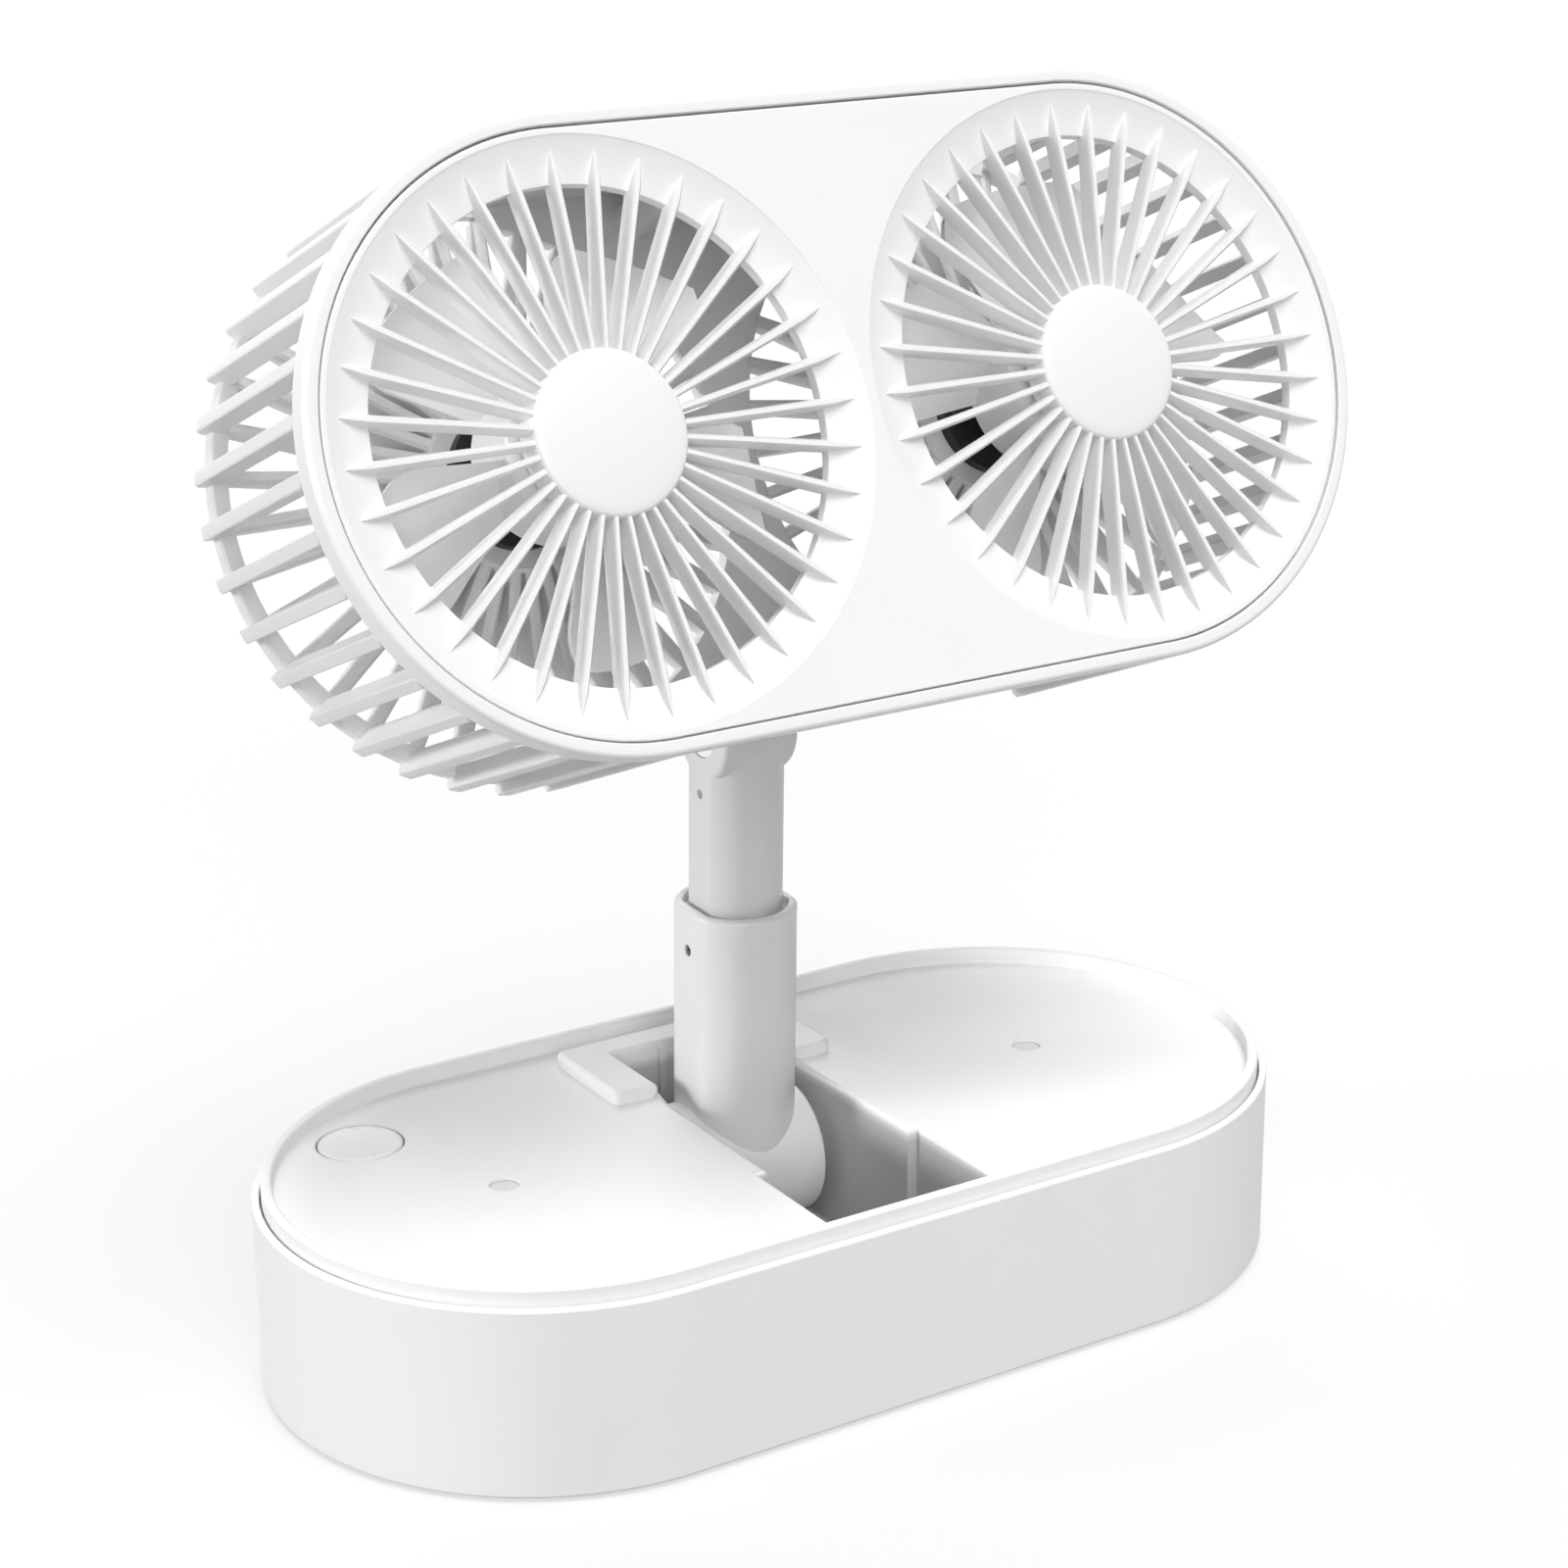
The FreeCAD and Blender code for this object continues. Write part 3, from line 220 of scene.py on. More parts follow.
def soft_rubber(name, pale, dark):
    """Matt silicone with a fine pebbled face and dust in its pits."""
    material, tree, shader, place = new_finish(name)
    pebble = add_node(tree, "TexVoronoi", Vector=place, Scale=900.0)
    dust = add_node(tree, "TexNoise", Vector=place, Scale=60.0, Detail=5.0)
    two_tones(tree, shader, dust, dark, pale)
    dull = add_node(tree, "MapRange", Value=dust.outputs["Fac"], To_Min=0.7, To_Max=0.9)
    tree.links.new(dull.outputs["Result"], shader.inputs["Roughness"])
    bump = add_node(tree, "Bump", Strength=0.3, Distance=0.0001, Height=pebble.outputs["Distance"])
    tree.links.new(bump.outputs["Normal"], shader.inputs["Normal"])
    return material


def turned_metal(name, pale, dark, rough, turns=1400.0):
    """Steel with fine tool marks and a cloudy plated sheen."""
    material, tree, shader, place = new_finish(name)
    marks = add_node(tree, "TexWave", Vector=place, Scale=turns, Distortion=6.0, Detail=3.0)
    cloud = add_node(tree, "TexNoise", Vector=place, Scale=300.0, Detail=4.0)
    two_tones(tree, shader, cloud, dark, pale)
    dull = add_node(tree, "MapRange", Value=cloud.outputs["Fac"], To_Min=rough[0], To_Max=rough[1])
    tree.links.new(dull.outputs["Result"], shader.inputs["Roughness"])
    bump = add_node(tree, "Bump", Strength=0.12, Distance=0.00002, Height=marks.outputs["Fac"])
    tree.links.new(bump.outputs["Normal"], shader.inputs["Normal"])
    shader.inputs["Metallic"].default_value = 1.0
    return material


screw_steel = turned_metal("screw_nickel", (0.62, 0.62, 0.61), (0.48, 0.48, 0.48), (0.28, 0.45))
give(base_white, "bottom_plate")
give(soft_rubber("silicone_grey", (0.13, 0.13, 0.135), (0.09, 0.09, 0.095)), "anti_slip_pad")
give(screw_steel, "bottom_screws")

# Deck: the top of the base in one white moulding, laid in the ledge of the outer wall. Its raised lip runs
# all round, a low frame stands round the back of the well, and the pole folds into the well, whose inside
# has painted shade: its white is darkened below the top of the deck.
FLOOR, FLOOR_LOW = 36.5, 34.5
LIP_OUT, LIP_IN, LIP_TOP, LIP_LOW, LIP_EDGE = 51.4, 49.4, 39.5, 32.0, 0.5
LIP_FILLET = 0.5
WELL_HALF, WELL_WIDE, WELL_STEP, WELL_FRONT, WELL_BACK = 15.5, 17.6, -20.5, -48.2, 37.4
WELL_FLOOR, WELL_SKIN, FRONT_SKIN = 7.0, 1.8, 0.6
FRAME_HALF, FRAME_FRONT, FRAME_BACK, FRAME_TOP = 24.5, 19.2, 44.0, 39.2
FRAME_CORNER, FRAME_EDGE, WELL_EDGE = 2.0, 0.9, 1.0
SHADE_FULL_TO, SHADE_GONE_FROM, WELL_SHADE = 34.0, 36.2, 0.62    # heights between which the painted shade in the well fades to white
STOP_X, STOP_WIDE, STOP_DEEP, STOP_TOP, STOP_SUNK, STOP_EDGE = 4.0, 1.6, 0.8, 38.0, 1.0, 0.3
BUTTON_SPOT, BUTTON_HOLE, HOLE_EDGE = (-72.4, 31.3, FLOOR), 8.3, 0.2
SCREW_SPOTS = ((-58.3, 0.6, FLOOR), (58.3, 0.6, FLOOR))
SCREW_SINK, SCREW_SEAT, SCREW_HOLE, SINK_EDGE = 2.7, 34.85, 1.5, 0.25


def circle_loop(bm, radius, spot, steps=96):
    ring = bmesh.ops.create_circle(bm, cap_ends=False, radius=radius, segments=steps)["verts"]
    bmesh.ops.translate(bm, verts=ring, vec=spot)
    return ring_edges(ring)


def pulled(bm, edges, way):
    """Extrudes a run of edges along a way and gives the far edges."""
    far, fresh = doubled(bm, edges)
    bmesh.ops.translate(bm, verts=list(fresh), vec=way)
    return far


def lifted(bm, faces, way):
    """Extrudes faces along a way, open underneath."""
    made = bmesh.ops.extrude_face_region(bm, geom=faces)["geom"]
    bmesh.ops.translate(bm, verts=[item for item in made if is_vert(item)], vec=way)
    bmesh.ops.delete(bm, geom=faces, context="FACES")


def fill_flat(bm, edges, normal=(0, 0, 1)):
    bmesh.ops.triangle_fill(bm, use_beauty=True, use_dissolve=False, edges=edges, normal=normal)


def corners(bm, angle=40):
    """The edges whose two faces meet at more than the angle."""
    return [e for e in bm.edges if len(e.link_faces) == 2 and e.calc_face_angle(0) > math.radians(angle)]


def open_chain(bm, points, height, first=None, last=None):
    """A run of edges through points at one height, joined to given ends."""
    run = [bm.verts.new((*point, height)) for point in points]
    run = ([first] if first else []) + run + ([last] if last else [])
    return [bm.edges.new(pair) for pair in zip(run, run[1:])]


def vert_at(bm, x, y, z):
    return min(bm.verts, key=lambda v: (v.co - Vector((x, y, z))).length)


deck_white = moulded_plastic("deck_white_satin", (0.91, 0.91, 0.905), (0.89, 0.891, 0.89), (0.34, 0.42))
# Painted shade in the well: below the top of the deck the colour is scaled down, to 0.62 of it at the
# bottom.
tree = deck_white.node_tree
base_colour = tree.nodes["Principled BSDF"].inputs["Base Color"]
height = add_node(tree, "SeparateXYZ", Vector=add_node(tree, "TexCoord").outputs["Object"])
tone = add_node(tree, "MapRange", Value=height.outputs["Z"], From_Min=SHADE_FULL_TO * MM, From_Max=SHADE_GONE_FROM * MM,
                To_Min=WELL_SHADE, To_Max=1.0)
well_shaded_colour = add_node(tree, "VectorMath", Vector=base_colour.links[0].from_socket)
well_shaded_colour.operation = "SCALE"
tree.links.new(tone.outputs["Result"], well_shaded_colour.inputs["Scale"])
tree.links.new(well_shaded_colour.outputs["Vector"], base_colour)
bm = bmesh.new()
half_frame = [(WELL_HALF, FRAME_FRONT), (FRAME_HALF, FRAME_FRONT), (FRAME_HALF, FRAME_BACK)]
outline = half_frame + [(-x, y) for x, y in reversed(half_frame)]
outline += [(-WELL_HALF, WELL_BACK), (WELL_HALF, WELL_BACK)]
frame_face = bm.faces.new([bm.verts.new((x, y, FLOOR)) for x, y in outline])
frame_corners = [vert_at(bm, side * FRAME_HALF, y, FLOOR)
                 for side in (-1, 1) for y in (FRAME_FRONT, FRAME_BACK)]
bmesh.ops.bevel(bm, geom=frame_corners, offset=FRAME_CORNER, offset_type="OFFSET", segments=5, profile=0.5,
                affect="VERTICES", material=-1)
frame_face = bm.faces[:][0]
mouth = [vert_at(bm, side * WELL_HALF, FRAME_FRONT, FLOOR) for side in (1, -1)]
front_run = open_chain(bm, [(WELL_HALF, WELL_STEP), (WELL_WIDE, WELL_STEP), (WELL_WIDE, WELL_FRONT),
                            (-WELL_WIDE, WELL_FRONT), (-WELL_WIDE, WELL_STEP), (-WELL_HALF, WELL_STEP)],
                       FLOOR, *mouth)


def inside_well(edge):
    return all(abs(v.co.x) < WELL_HALF + NEAR and v.co.y < WELL_BACK + NEAR for v in edge.verts)


def on_well_rim(edge):
    """Whether an edge is on the rim of the well, apart from its front end and the foot of the frame."""
    level = all(abs(v.co.z - FLOOR) < NEAR and abs(v.co.x) < WELL_WIDE + NEAR and v.co.y < FRAME_FRONT + NEAR
                for v in edge.verts)
    front_end = all(v.co.y < WELL_FRONT + NEAR for v in edge.verts)
    frame_foot = all(abs(v.co.y - FRAME_FRONT) < NEAR for v in edge.verts)
    return level and not front_end and not frame_foot


frame_inner = [e for e in frame_face.edges if inside_well(e)]
frame_outer = [e for e in frame_face.edges if not inside_well(e)]
floor_edge = stadium_loop(bm, LIP_IN - LIP_FILLET, FLOOR)
button_rim = circle_loop(bm, BUTTON_HOLE + HOLE_EDGE, BUTTON_SPOT)
screw_rims = [circle_loop(bm, SCREW_SINK + SINK_EDGE, spot, 40) for spot in SCREW_SPOTS]
fill_flat(bm, floor_edge + button_rim + sum(screw_rims, []) + front_run + frame_outer)
lifted(bm, [frame_face], (0, 0, FRAME_TOP - FLOOR))
well_rim = front_run + [e for e in frame_inner if e.is_valid]
fill_flat(bm, pulled(bm, well_rim, (0, 0, WELL_FLOOR - FLOOR)))
under_edge = draw_out(bm, floor_edge, (
    *rounding(LIP_IN - LIP_FILLET, LIP_IN, FLOOR, FLOOR + LIP_FILLET, True),
    (LIP_IN, LIP_TOP - LIP_EDGE), *rounding(LIP_IN, LIP_IN + LIP_EDGE, LIP_TOP - LIP_EDGE, LIP_TOP, False),
    (LIP_OUT - LIP_EDGE, LIP_TOP), *rounding(LIP_OUT - LIP_EDGE, LIP_OUT, LIP_TOP, LIP_TOP - LIP_EDGE, True),
    (LIP_OUT, LIP_LOW), (LIP_IN, LIP_LOW), (LIP_IN, FLOOR_LOW)))
under_holes = draw_out(bm, button_rim, (
    (BUTTON_HOLE, FLOOR - HOLE_EDGE), (BUTTON_HOLE, FLOOR_LOW)), BUTTON_SPOT)
for rim, spot in zip(screw_rims, SCREW_SPOTS):
    under_holes += draw_out(bm, rim, (
        (SCREW_SINK, FLOOR - SINK_EDGE), (SCREW_SINK, SCREW_SEAT), (SCREW_HOLE, SCREW_SEAT),
        (SCREW_HOLE, FLOOR_LOW)), spot)
skin_half, skin_wide = WELL_HALF + WELL_SKIN, WELL_WIDE + WELL_SKIN
skin = [(skin_half, WELL_BACK + WELL_SKIN), (skin_half, WELL_STEP + WELL_SKIN),
        (skin_wide, WELL_STEP + WELL_SKIN), (skin_wide, WELL_FRONT - FRONT_SKIN)]
skin += [(-x, y) for x, y in reversed(skin)]
tub = open_chain(bm, skin, FLOOR_LOW)
tub.append(bm.edges.new((tub[-1].verts[1], tub[0].verts[0])))
fill_flat(bm, under_edge + under_holes + tub)
fill_flat(bm, pulled(bm, tub, (0, 0, WELL_FLOOR - WELL_SKIN - FLOOR_LOW)))
bmesh.ops.recalc_face_normals(bm, faces=bm.faces)
frame_top_edges = [e for e in corners(bm) if all(
    abs(v.co.z - FRAME_TOP) < NEAR and abs(v.co.x) < FRAME_HALF + NEAR for v in e.verts)]
soften(bm, frame_top_edges, FRAME_EDGE, 4)
soften(bm, [e for e in corners(bm) if on_well_rim(e)], WELL_EDGE, 4)
for x in (-STOP_X, STOP_X):
    stop = bmesh.ops.create_cube(bm, size=1)["verts"]
    bmesh.ops.scale(bm, verts=stop, vec=(STOP_WIDE, 2 * STOP_DEEP, STOP_TOP - WELL_FLOOR + STOP_SUNK))
    bmesh.ops.translate(bm, verts=stop, vec=(x, WELL_BACK, (STOP_TOP + WELL_FLOOR - STOP_SUNK) / 2))
    soften(bm, ring_edges(stop), STOP_EDGE, 2)
set_piece("deck_tray", bm, deck_white, "base", "deck")
screw_white = moulded_plastic("screw_white_coat", (0.8, 0.8, 0.8), (0.74, 0.74, 0.74), (0.3, 0.4), 0.15)
give(screw_white, "deck_screws")

# Power pack under the deck: two cells in shrink sleeves in a black holder, and the green control board on
# four standoffs with its stamped steel usb socket, which looks out of the back of the wall.
holder_black = moulded_plastic(
    "holder_black_grained", (0.025, 0.025, 0.026), (0.016, 0.016, 0.017), (0.5, 0.62), 0.2)
cell_blue = moulded_plastic(
    "cell_sleeve_blue", (0.02, 0.09, 0.24), (0.015, 0.07, 0.2), (0.22, 0.32), 0.02, 60.0)
board_green = moulded_plastic(
    "solder_mask_green", (0.012, 0.11, 0.045), (0.008, 0.08, 0.03), (0.3, 0.45), 0.2, 400.0)
socket_steel = turned_metal("socket_steel_stamped", (0.6, 0.6, 0.6), (0.5, 0.5, 0.5), (0.25, 0.4), 500.0)
give(holder_black, "battery_holder")
give(cell_blue, "battery_cells")
give(board_green, "control_board")
give(screw_steel, "board_screws")
give(socket_steel, "usb_socket")

# Power button: a round white cap, flush in the deck and a little dished, held from below by its flange. The
# switch under it and its plunger are black.
BUTTON_RADIUS, BUTTON_FLANGE, BUTTON_LOW, FLANGE_TOP = 8.0, 9.0, 33.0, 34.2
CAP_TOP = (                 # radius, depth below the deck
    (0, 0.28), (3.0, 0.24), (5.5, 0.12), (6.9, 0.01), (7.4, 0), (7.75, 0.08), (7.95, 0.3),
    (BUTTON_RADIUS, 0.6))


def turned(bm, profile, spot=(0, 0, 0), steps=96, angle=2 * math.pi, start=0.0):
    """Spins a profile of (radius, height) points round the upright through a spot."""
    before = set(bm.verts)
    run = [bm.verts.new((radius, 0, height)) for radius, height in profile]
    edges = [bm.edges.new(pair) for pair in zip(run, run[1:])]
    bmesh.ops.rotate(bm, verts=run, matrix=Matrix.Rotation(start, 3, "Z"))
    bmesh.ops.spin(bm, geom=run + edges, cent=(0, 0, 0), axis=(0, 0, 1), dvec=(0, 0, 0), angle=angle,
                   steps=steps, use_merge=angle == 2 * math.pi, use_duplicate=False)
    fresh = [v for v in bm.verts if v not in before]
    bmesh.ops.translate(bm, verts=fresh, vec=spot)
    return fresh


button_white = moulded_plastic(
    "button_white_smooth", (0.92, 0.92, 0.918), (0.905, 0.905, 0.905), (0.26, 0.33), 0.02)
bm = bmesh.new()
turned(bm, (*[(radius, FLOOR - depth) for radius, depth in CAP_TOP], (BUTTON_RADIUS, FLANGE_TOP),
            (BUTTON_FLANGE, FLANGE_TOP), (BUTTON_FLANGE, BUTTON_LOW), (0, BUTTON_LOW)),
       (BUTTON_SPOT[0], BUTTON_SPOT[1], 0))
set_piece("button_cap", bm, button_white, "button", "power_button")
give(holder_black, "button_switch", "switch_plunger")

# Foot of the pole: a turned steel pin through the walls of the well, with a milky nylon washer on each side
# of the barrel.
pin_steel = turned_metal("pin_steel_turned", (0.68, 0.68, 0.69), (0.56, 0.56, 0.57), (0.2, 0.34))
bush_nylon = moulded_plastic("nylon_natural", (0.72, 0.71, 0.68), (0.66, 0.65, 0.62), (0.4, 0.5), 0.05)
give(pin_steel, "pivot_pin")
give(bush_nylon, "pivot_washers")

# Lower tube: a white tube with two flat sides, moulded across a wide pivot barrel at its foot. Its mouth is
# rounded and holds the nylon guide bush, which a small slotted pin keeps in place.
POLE = Matrix.Translation((0, 16.84, 20.8)) @ Matrix.Rotation(math.radians(2.23), 4, "X")
TUBE_RADIUS, BORE_RADIUS = 11.7, 10.05
FLAT_INSET, FLAT_CORNER, BORE_CORNER, FLAT_NEAR = 1.15, 0.3, 0.04, 0.1
TUBE_FOOT, TUBE_TOP, TUBE_EDGE, BORE_EDGE, BORE_END = 4.0, 54.3, 0.9, 0.25, 12.2
BARREL_RADIUS, BARREL_HALF, BARREL_EDGE, PIVOT_HOLE = 13.2, 13.0, 0.5, 2.55
CROWN_HALF, CROWN_OUT, CROWN_TOP = 9.5, 9.9, 12.0    # of the barrel, cleared for the bore
PIN_HOLE, PIN_HEIGHT, PIN_DEEP, PIN_FIELD = 1.15, 46.0, 1.2, 1.6


def whole(faces):
    """Faces with their edges and corners."""
    return [*faces, *{e for f in faces for e in f.edges}, *{v for f in faces for v in f.verts}]


def flat_loop(bm, radius, height, corner=FLAT_CORNER, steps=96):
    """A round loop drawn in to two flat sides, with soft corners between."""
    ring = bmesh.ops.create_circle(bm, cap_ends=False, radius=radius, segments=steps)["verts"]
    flat = radius - FLAT_INSET
    for v in ring:
        share = math.exp(-abs(v.co.x) / corner) + math.exp(-flat / corner)
        v.co.x = math.copysign(corner * math.log(share), v.co.x)
        v.co.z = height
    return ring_edges(ring)


# The tube's white is darker than the base's: a painted shadow of the head above it.
shadowed_pole_white = moulded_plastic("pole_white_satin", (0.83, 0.83, 0.83), (0.8, 0.8, 0.8), (0.3, 0.4))
bm = bmesh.new()
loops = [flat_loop(bm, radius, height) for radius, height in (
    (TUBE_RADIUS, TUBE_FOOT), (TUBE_RADIUS, TUBE_TOP - TUBE_EDGE),
    *rounding(TUBE_RADIUS, TUBE_RADIUS - TUBE_EDGE, TUBE_TOP - TUBE_EDGE, TUBE_TOP, False, 5))]
loops += [flat_loop(bm, radius, height, BORE_CORNER) for radius, height in (
    (BORE_RADIUS + BORE_EDGE, TUBE_TOP),
    *rounding(BORE_RADIUS + BORE_EDGE, BORE_RADIUS, TUBE_TOP, TUBE_TOP - BORE_EDGE, True),
    (BORE_RADIUS, BORE_END))]
for outer, inner in zip(loops, loops[1:]):
    bmesh.ops.bridge_loops(bm, edges=outer + inner)
for loop in (loops[0], loops[-1]):
    fill_flat(bm, loop)
flat_x = FLAT_INSET - TUBE_RADIUS
for height in (PIN_HEIGHT - PIN_FIELD, PIN_HEIGHT + PIN_FIELD):
    side = [f for f in bm.faces if f.calc_center_median().x < flat_x + FLAT_NEAR]
    split(bm, whole(side), (0, 0, height), (0, 0, 1))
field = [f for f in bm.faces if f.calc_center_median().x < flat_x + FLAT_NEAR
         and abs(f.calc_center_median().z - PIN_HEIGHT) < PIN_FIELD
         and abs(f.calc_center_median().y) < PIN_FIELD]
bmesh.ops.delete(bm, geom=field, context="FACES")
field_rim = [e for e in bm.edges if e.is_boundary]
hole = bmesh.ops.create_circle(bm, cap_ends=False, radius=PIN_HOLE, segments=24)["verts"]
bmesh.ops.rotate(bm, verts=hole, matrix=Matrix.Rotation(math.pi / 2, 3, "Y"))
bmesh.ops.translate(bm, verts=hole, vec=(flat_x, 0, PIN_HEIGHT))
hole_rim = ring_edges(hole)
fill_flat(bm, field_rim + hole_rim, (-1, 0, 0))
fill_flat(bm, pulled(bm, hole_rim, (PIN_DEEP, 0, 0)), (-1, 0, 0))
barrel_end = BARREL_HALF - BARREL_EDGE
barrel = turned(bm, (
    (PIVOT_HOLE, -BARREL_HALF), (BARREL_RADIUS - BARREL_EDGE, -BARREL_HALF),
    *rounding(BARREL_RADIUS - BARREL_EDGE, BARREL_RADIUS, -BARREL_HALF, -barrel_end, True),
    (BARREL_RADIUS, barrel_end),
    *rounding(BARREL_RADIUS, BARREL_RADIUS - BARREL_EDGE, barrel_end, BARREL_HALF, False),
    (PIVOT_HOLE, BARREL_HALF), (PIVOT_HOLE, -BARREL_HALF)))
bmesh.ops.rotate(bm, verts=barrel, matrix=Matrix.Rotation(math.pi / 2, 3, "Y"))
geom = whole({f for v in barrel for f in v.link_faces})
for side in (-CROWN_OUT, -CROWN_HALF, CROWN_HALF, CROWN_OUT):
    geom = split(bm, geom, (side, 0, 0), (1, 0, 0))
for v in filter(is_vert, geom):
    if abs(v.co.x) < CROWN_HALF + NEAR:
        v.co.z = min(v.co.z, CROWN_TOP)
set_piece("lower_tube_shell", bm, shadowed_pole_white, "lower_pole", "lower_tube", place=POLE)
bush_pin_dark = turned_metal("bush_pin_dark", (0.16, 0.16, 0.16), (0.1, 0.1, 0.1), (0.35, 0.5))
give(bush_nylon, "guide_bush")
give(bush_pin_dark, "bush_pin")

# Upper tube: the slimmer tube, a darker white for a painted shadow of the head, slides in the lower one and
# ends in a forked barrel. A slotted shoulder screw and a nut let into its cheeks hold the bracket of the
# head.
upper_tube_shadowed_white = moulded_plastic("upper_pole_satin", (0.74, 0.74, 0.74), (0.71, 0.71, 0.71), (0.3, 0.4))
hinge_steel = turned_metal("hinge_screw_satin", (0.72, 0.72, 0.72), (0.6, 0.6, 0.6), (0.42, 0.55))
give(upper_tube_shadowed_white, "upper_tube")
give(hinge_steel, "hinge_pin")
give(pin_steel, "hinge_nut")

# Bracket: a small white arm with a foot, fixed to the back of the head by two screws. Its knuckle turns in
# the fork of the upper tube.
bracket_white = moulded_plastic("bracket_white_satin", (0.9, 0.9, 0.9), (0.88, 0.88, 0.88), (0.34, 0.44))
give(bracket_white, "head_bracket")
give(screw_steel, "bracket_screws")

# Bezel: the outer band of the face, a white ring with a rounded front edge and a ledge inside on which the
# panel lies. Here and below, heights run to the front from the face of the panel.
HEAD_TILT = math.radians(22.55)
HEAD = Matrix.Translation((0, -32.287, 179.954)) @ Matrix.Rotation(math.pi / 2 - HEAD_TILT, 4, "X")
BEZEL_RADIUS, BEZEL_FRONT, BEZEL_BACK, BEZEL_EDGE, BACK_EDGE = 53.0, 0.4, -4.5, 1.0, 0.3
SEAM_RADIUS, SEAM_EDGE, LEDGE_INSIDE, LEDGE_FRONT = 50.45, 0.3, 47.5, -2.2
bezel_white = moulded_plastic("bezel_white_satin", (0.915, 0.915, 0.91), (0.895, 0.896, 0.895), (0.34, 0.42))
bm = bmesh.new()
start = stadium_loop(bm, BEZEL_RADIUS - BACK_EDGE, BEZEL_BACK)
last = draw_out(bm, start, (
    (BEZEL_RADIUS, BEZEL_BACK + BACK_EDGE), (BEZEL_RADIUS, BEZEL_FRONT - BEZEL_EDGE),
    *rounding(BEZEL_RADIUS, BEZEL_RADIUS - BEZEL_EDGE, BEZEL_FRONT - BEZEL_EDGE, BEZEL_FRONT, False, 5),
    (SEAM_RADIUS + SEAM_EDGE, BEZEL_FRONT),
    *rounding(SEAM_RADIUS + SEAM_EDGE, SEAM_RADIUS, BEZEL_FRONT, BEZEL_FRONT - SEAM_EDGE, True),
    (SEAM_RADIUS, LEDGE_FRONT), (LEDGE_INSIDE, LEDGE_FRONT), (LEDGE_INSIDE, BEZEL_BACK)))
bmesh.ops.bridge_loops(bm, edges=start + last)
set_piece("bezel_ring", bm, bezel_white, "head", "bezel_frame", place=HEAD)

# Front panel: one thin white moulding let into the bezel. Each fan has a shallow dished band with 36 ribs
# that run from the crowned hub cap and end as points on the band.
PANEL_RADIUS, PANEL_BACK, PANEL_EDGE = 50.1, -2.2, 0.25
FANS = (-END, END)
DISH_RIM = 49.1
DISH_PROFILE = (            # radius, height
    (48.95, -0.06), (48.8, -0.23), (46.5, -1.0), (44.0, -1.72), (41.6, -2.23), (41.3, -2.35), (41.2, -2.7),
    (41.2, -4.4), (46.9, PANEL_BACK))
HUB_PROFILE = (
    (0, 0.9), (3.5, 0.85), (7.0, 0.68), (10.0, 0.4), (12.0, 0.1), (13.2, -0.1), (13.75, -0.45), (14.0, -1.0),
    (14.0, -5.5), (0, -5.5))
RIB_COUNT = 36
RIB_STEP = 360 / RIB_COUNT
RIB_STATIONS = (            # along, half width, front, back, roundness of the front
    (12.6, 0.62, -0.5, -5.35, 0.5), (24.0, 0.68, -0.4, -4.8, 0.55), (38.0, 0.82, -0.4, -4.1, 0.65),
    (42.2, 0.84, -0.42, -4.0, 0.65), (44.6, 0.5, -0.55, -3.0, 0.4), (46.75, 0.05, -0.74, -1.6, 0.05))
BAR_CROWN, BAR_BACK_SOFT = 0.45, 0.4    # share of a bar's width left flat, most roundness of its back


def lay_bar(bm, stations):
    """A bar along X with a rounded front, drawn from an octagon through its stations."""
    before = set(bm.verts)
    ring = bmesh.ops.create_circle(bm, cap_ends=False, radius=1, segments=8)["verts"]
    bmesh.ops.rotate(bm, verts=ring, matrix=Matrix.Rotation(math.pi / 8, 3, "Z"))
    shape = {v: v.co.xy.copy() for v in ring}
    loop = ring_edges(ring)
    for number, (along, half, front, back, soft) in enumerate(stations):
        if number:
            loop, fresh = doubled(bm, loop)
            twins = {v: e.other_vert(v) for v in fresh for e in v.link_edges if e.other_vert(v) in shape}
            shape = {v: shape[twins[v]] for v in fresh}
        for v, (across, level) in shape.items():
            side = math.copysign(half if abs(across) > 0.5 else half * BAR_CROWN, across)
            edge, inset = (front, soft) if level > 0 else (back, min(soft, BAR_BACK_SOFT))
            inward = 0 if abs(level) > 0.5 else math.copysign(inset, -level)
            v.co = (along, side, edge + inward)
    fresh = [v for v in bm.verts if v not in before]
    bmesh.ops.holes_fill(bm, edges=[e for e in ring_edges(fresh) if e.is_boundary], sides=8)
    return fresh


def copies(bm, verts, places):
    """Copies a closed shape to each place and removes the first one."""
    geom = [*verts, *ring_edges(verts), *{f for v in verts for f in v.link_faces}]
    for place in places:
        made = bmesh.ops.duplicate(bm, geom=geom)["geom"]
        bmesh.ops.transform(bm, matrix=place, verts=[item for item in made if is_vert(item)])
    bmesh.ops.delete(bm, geom=list(verts), context="VERTS")


def spokes(fan, first, count, step=RIB_STEP):
    """Places round a fan's axis, counted in degrees from +X."""
    return [Matrix.Translation((fan, 0, 0)) @ Matrix.Rotation(math.radians(first + step * number), 4, "Z")
            for number in range(count)]


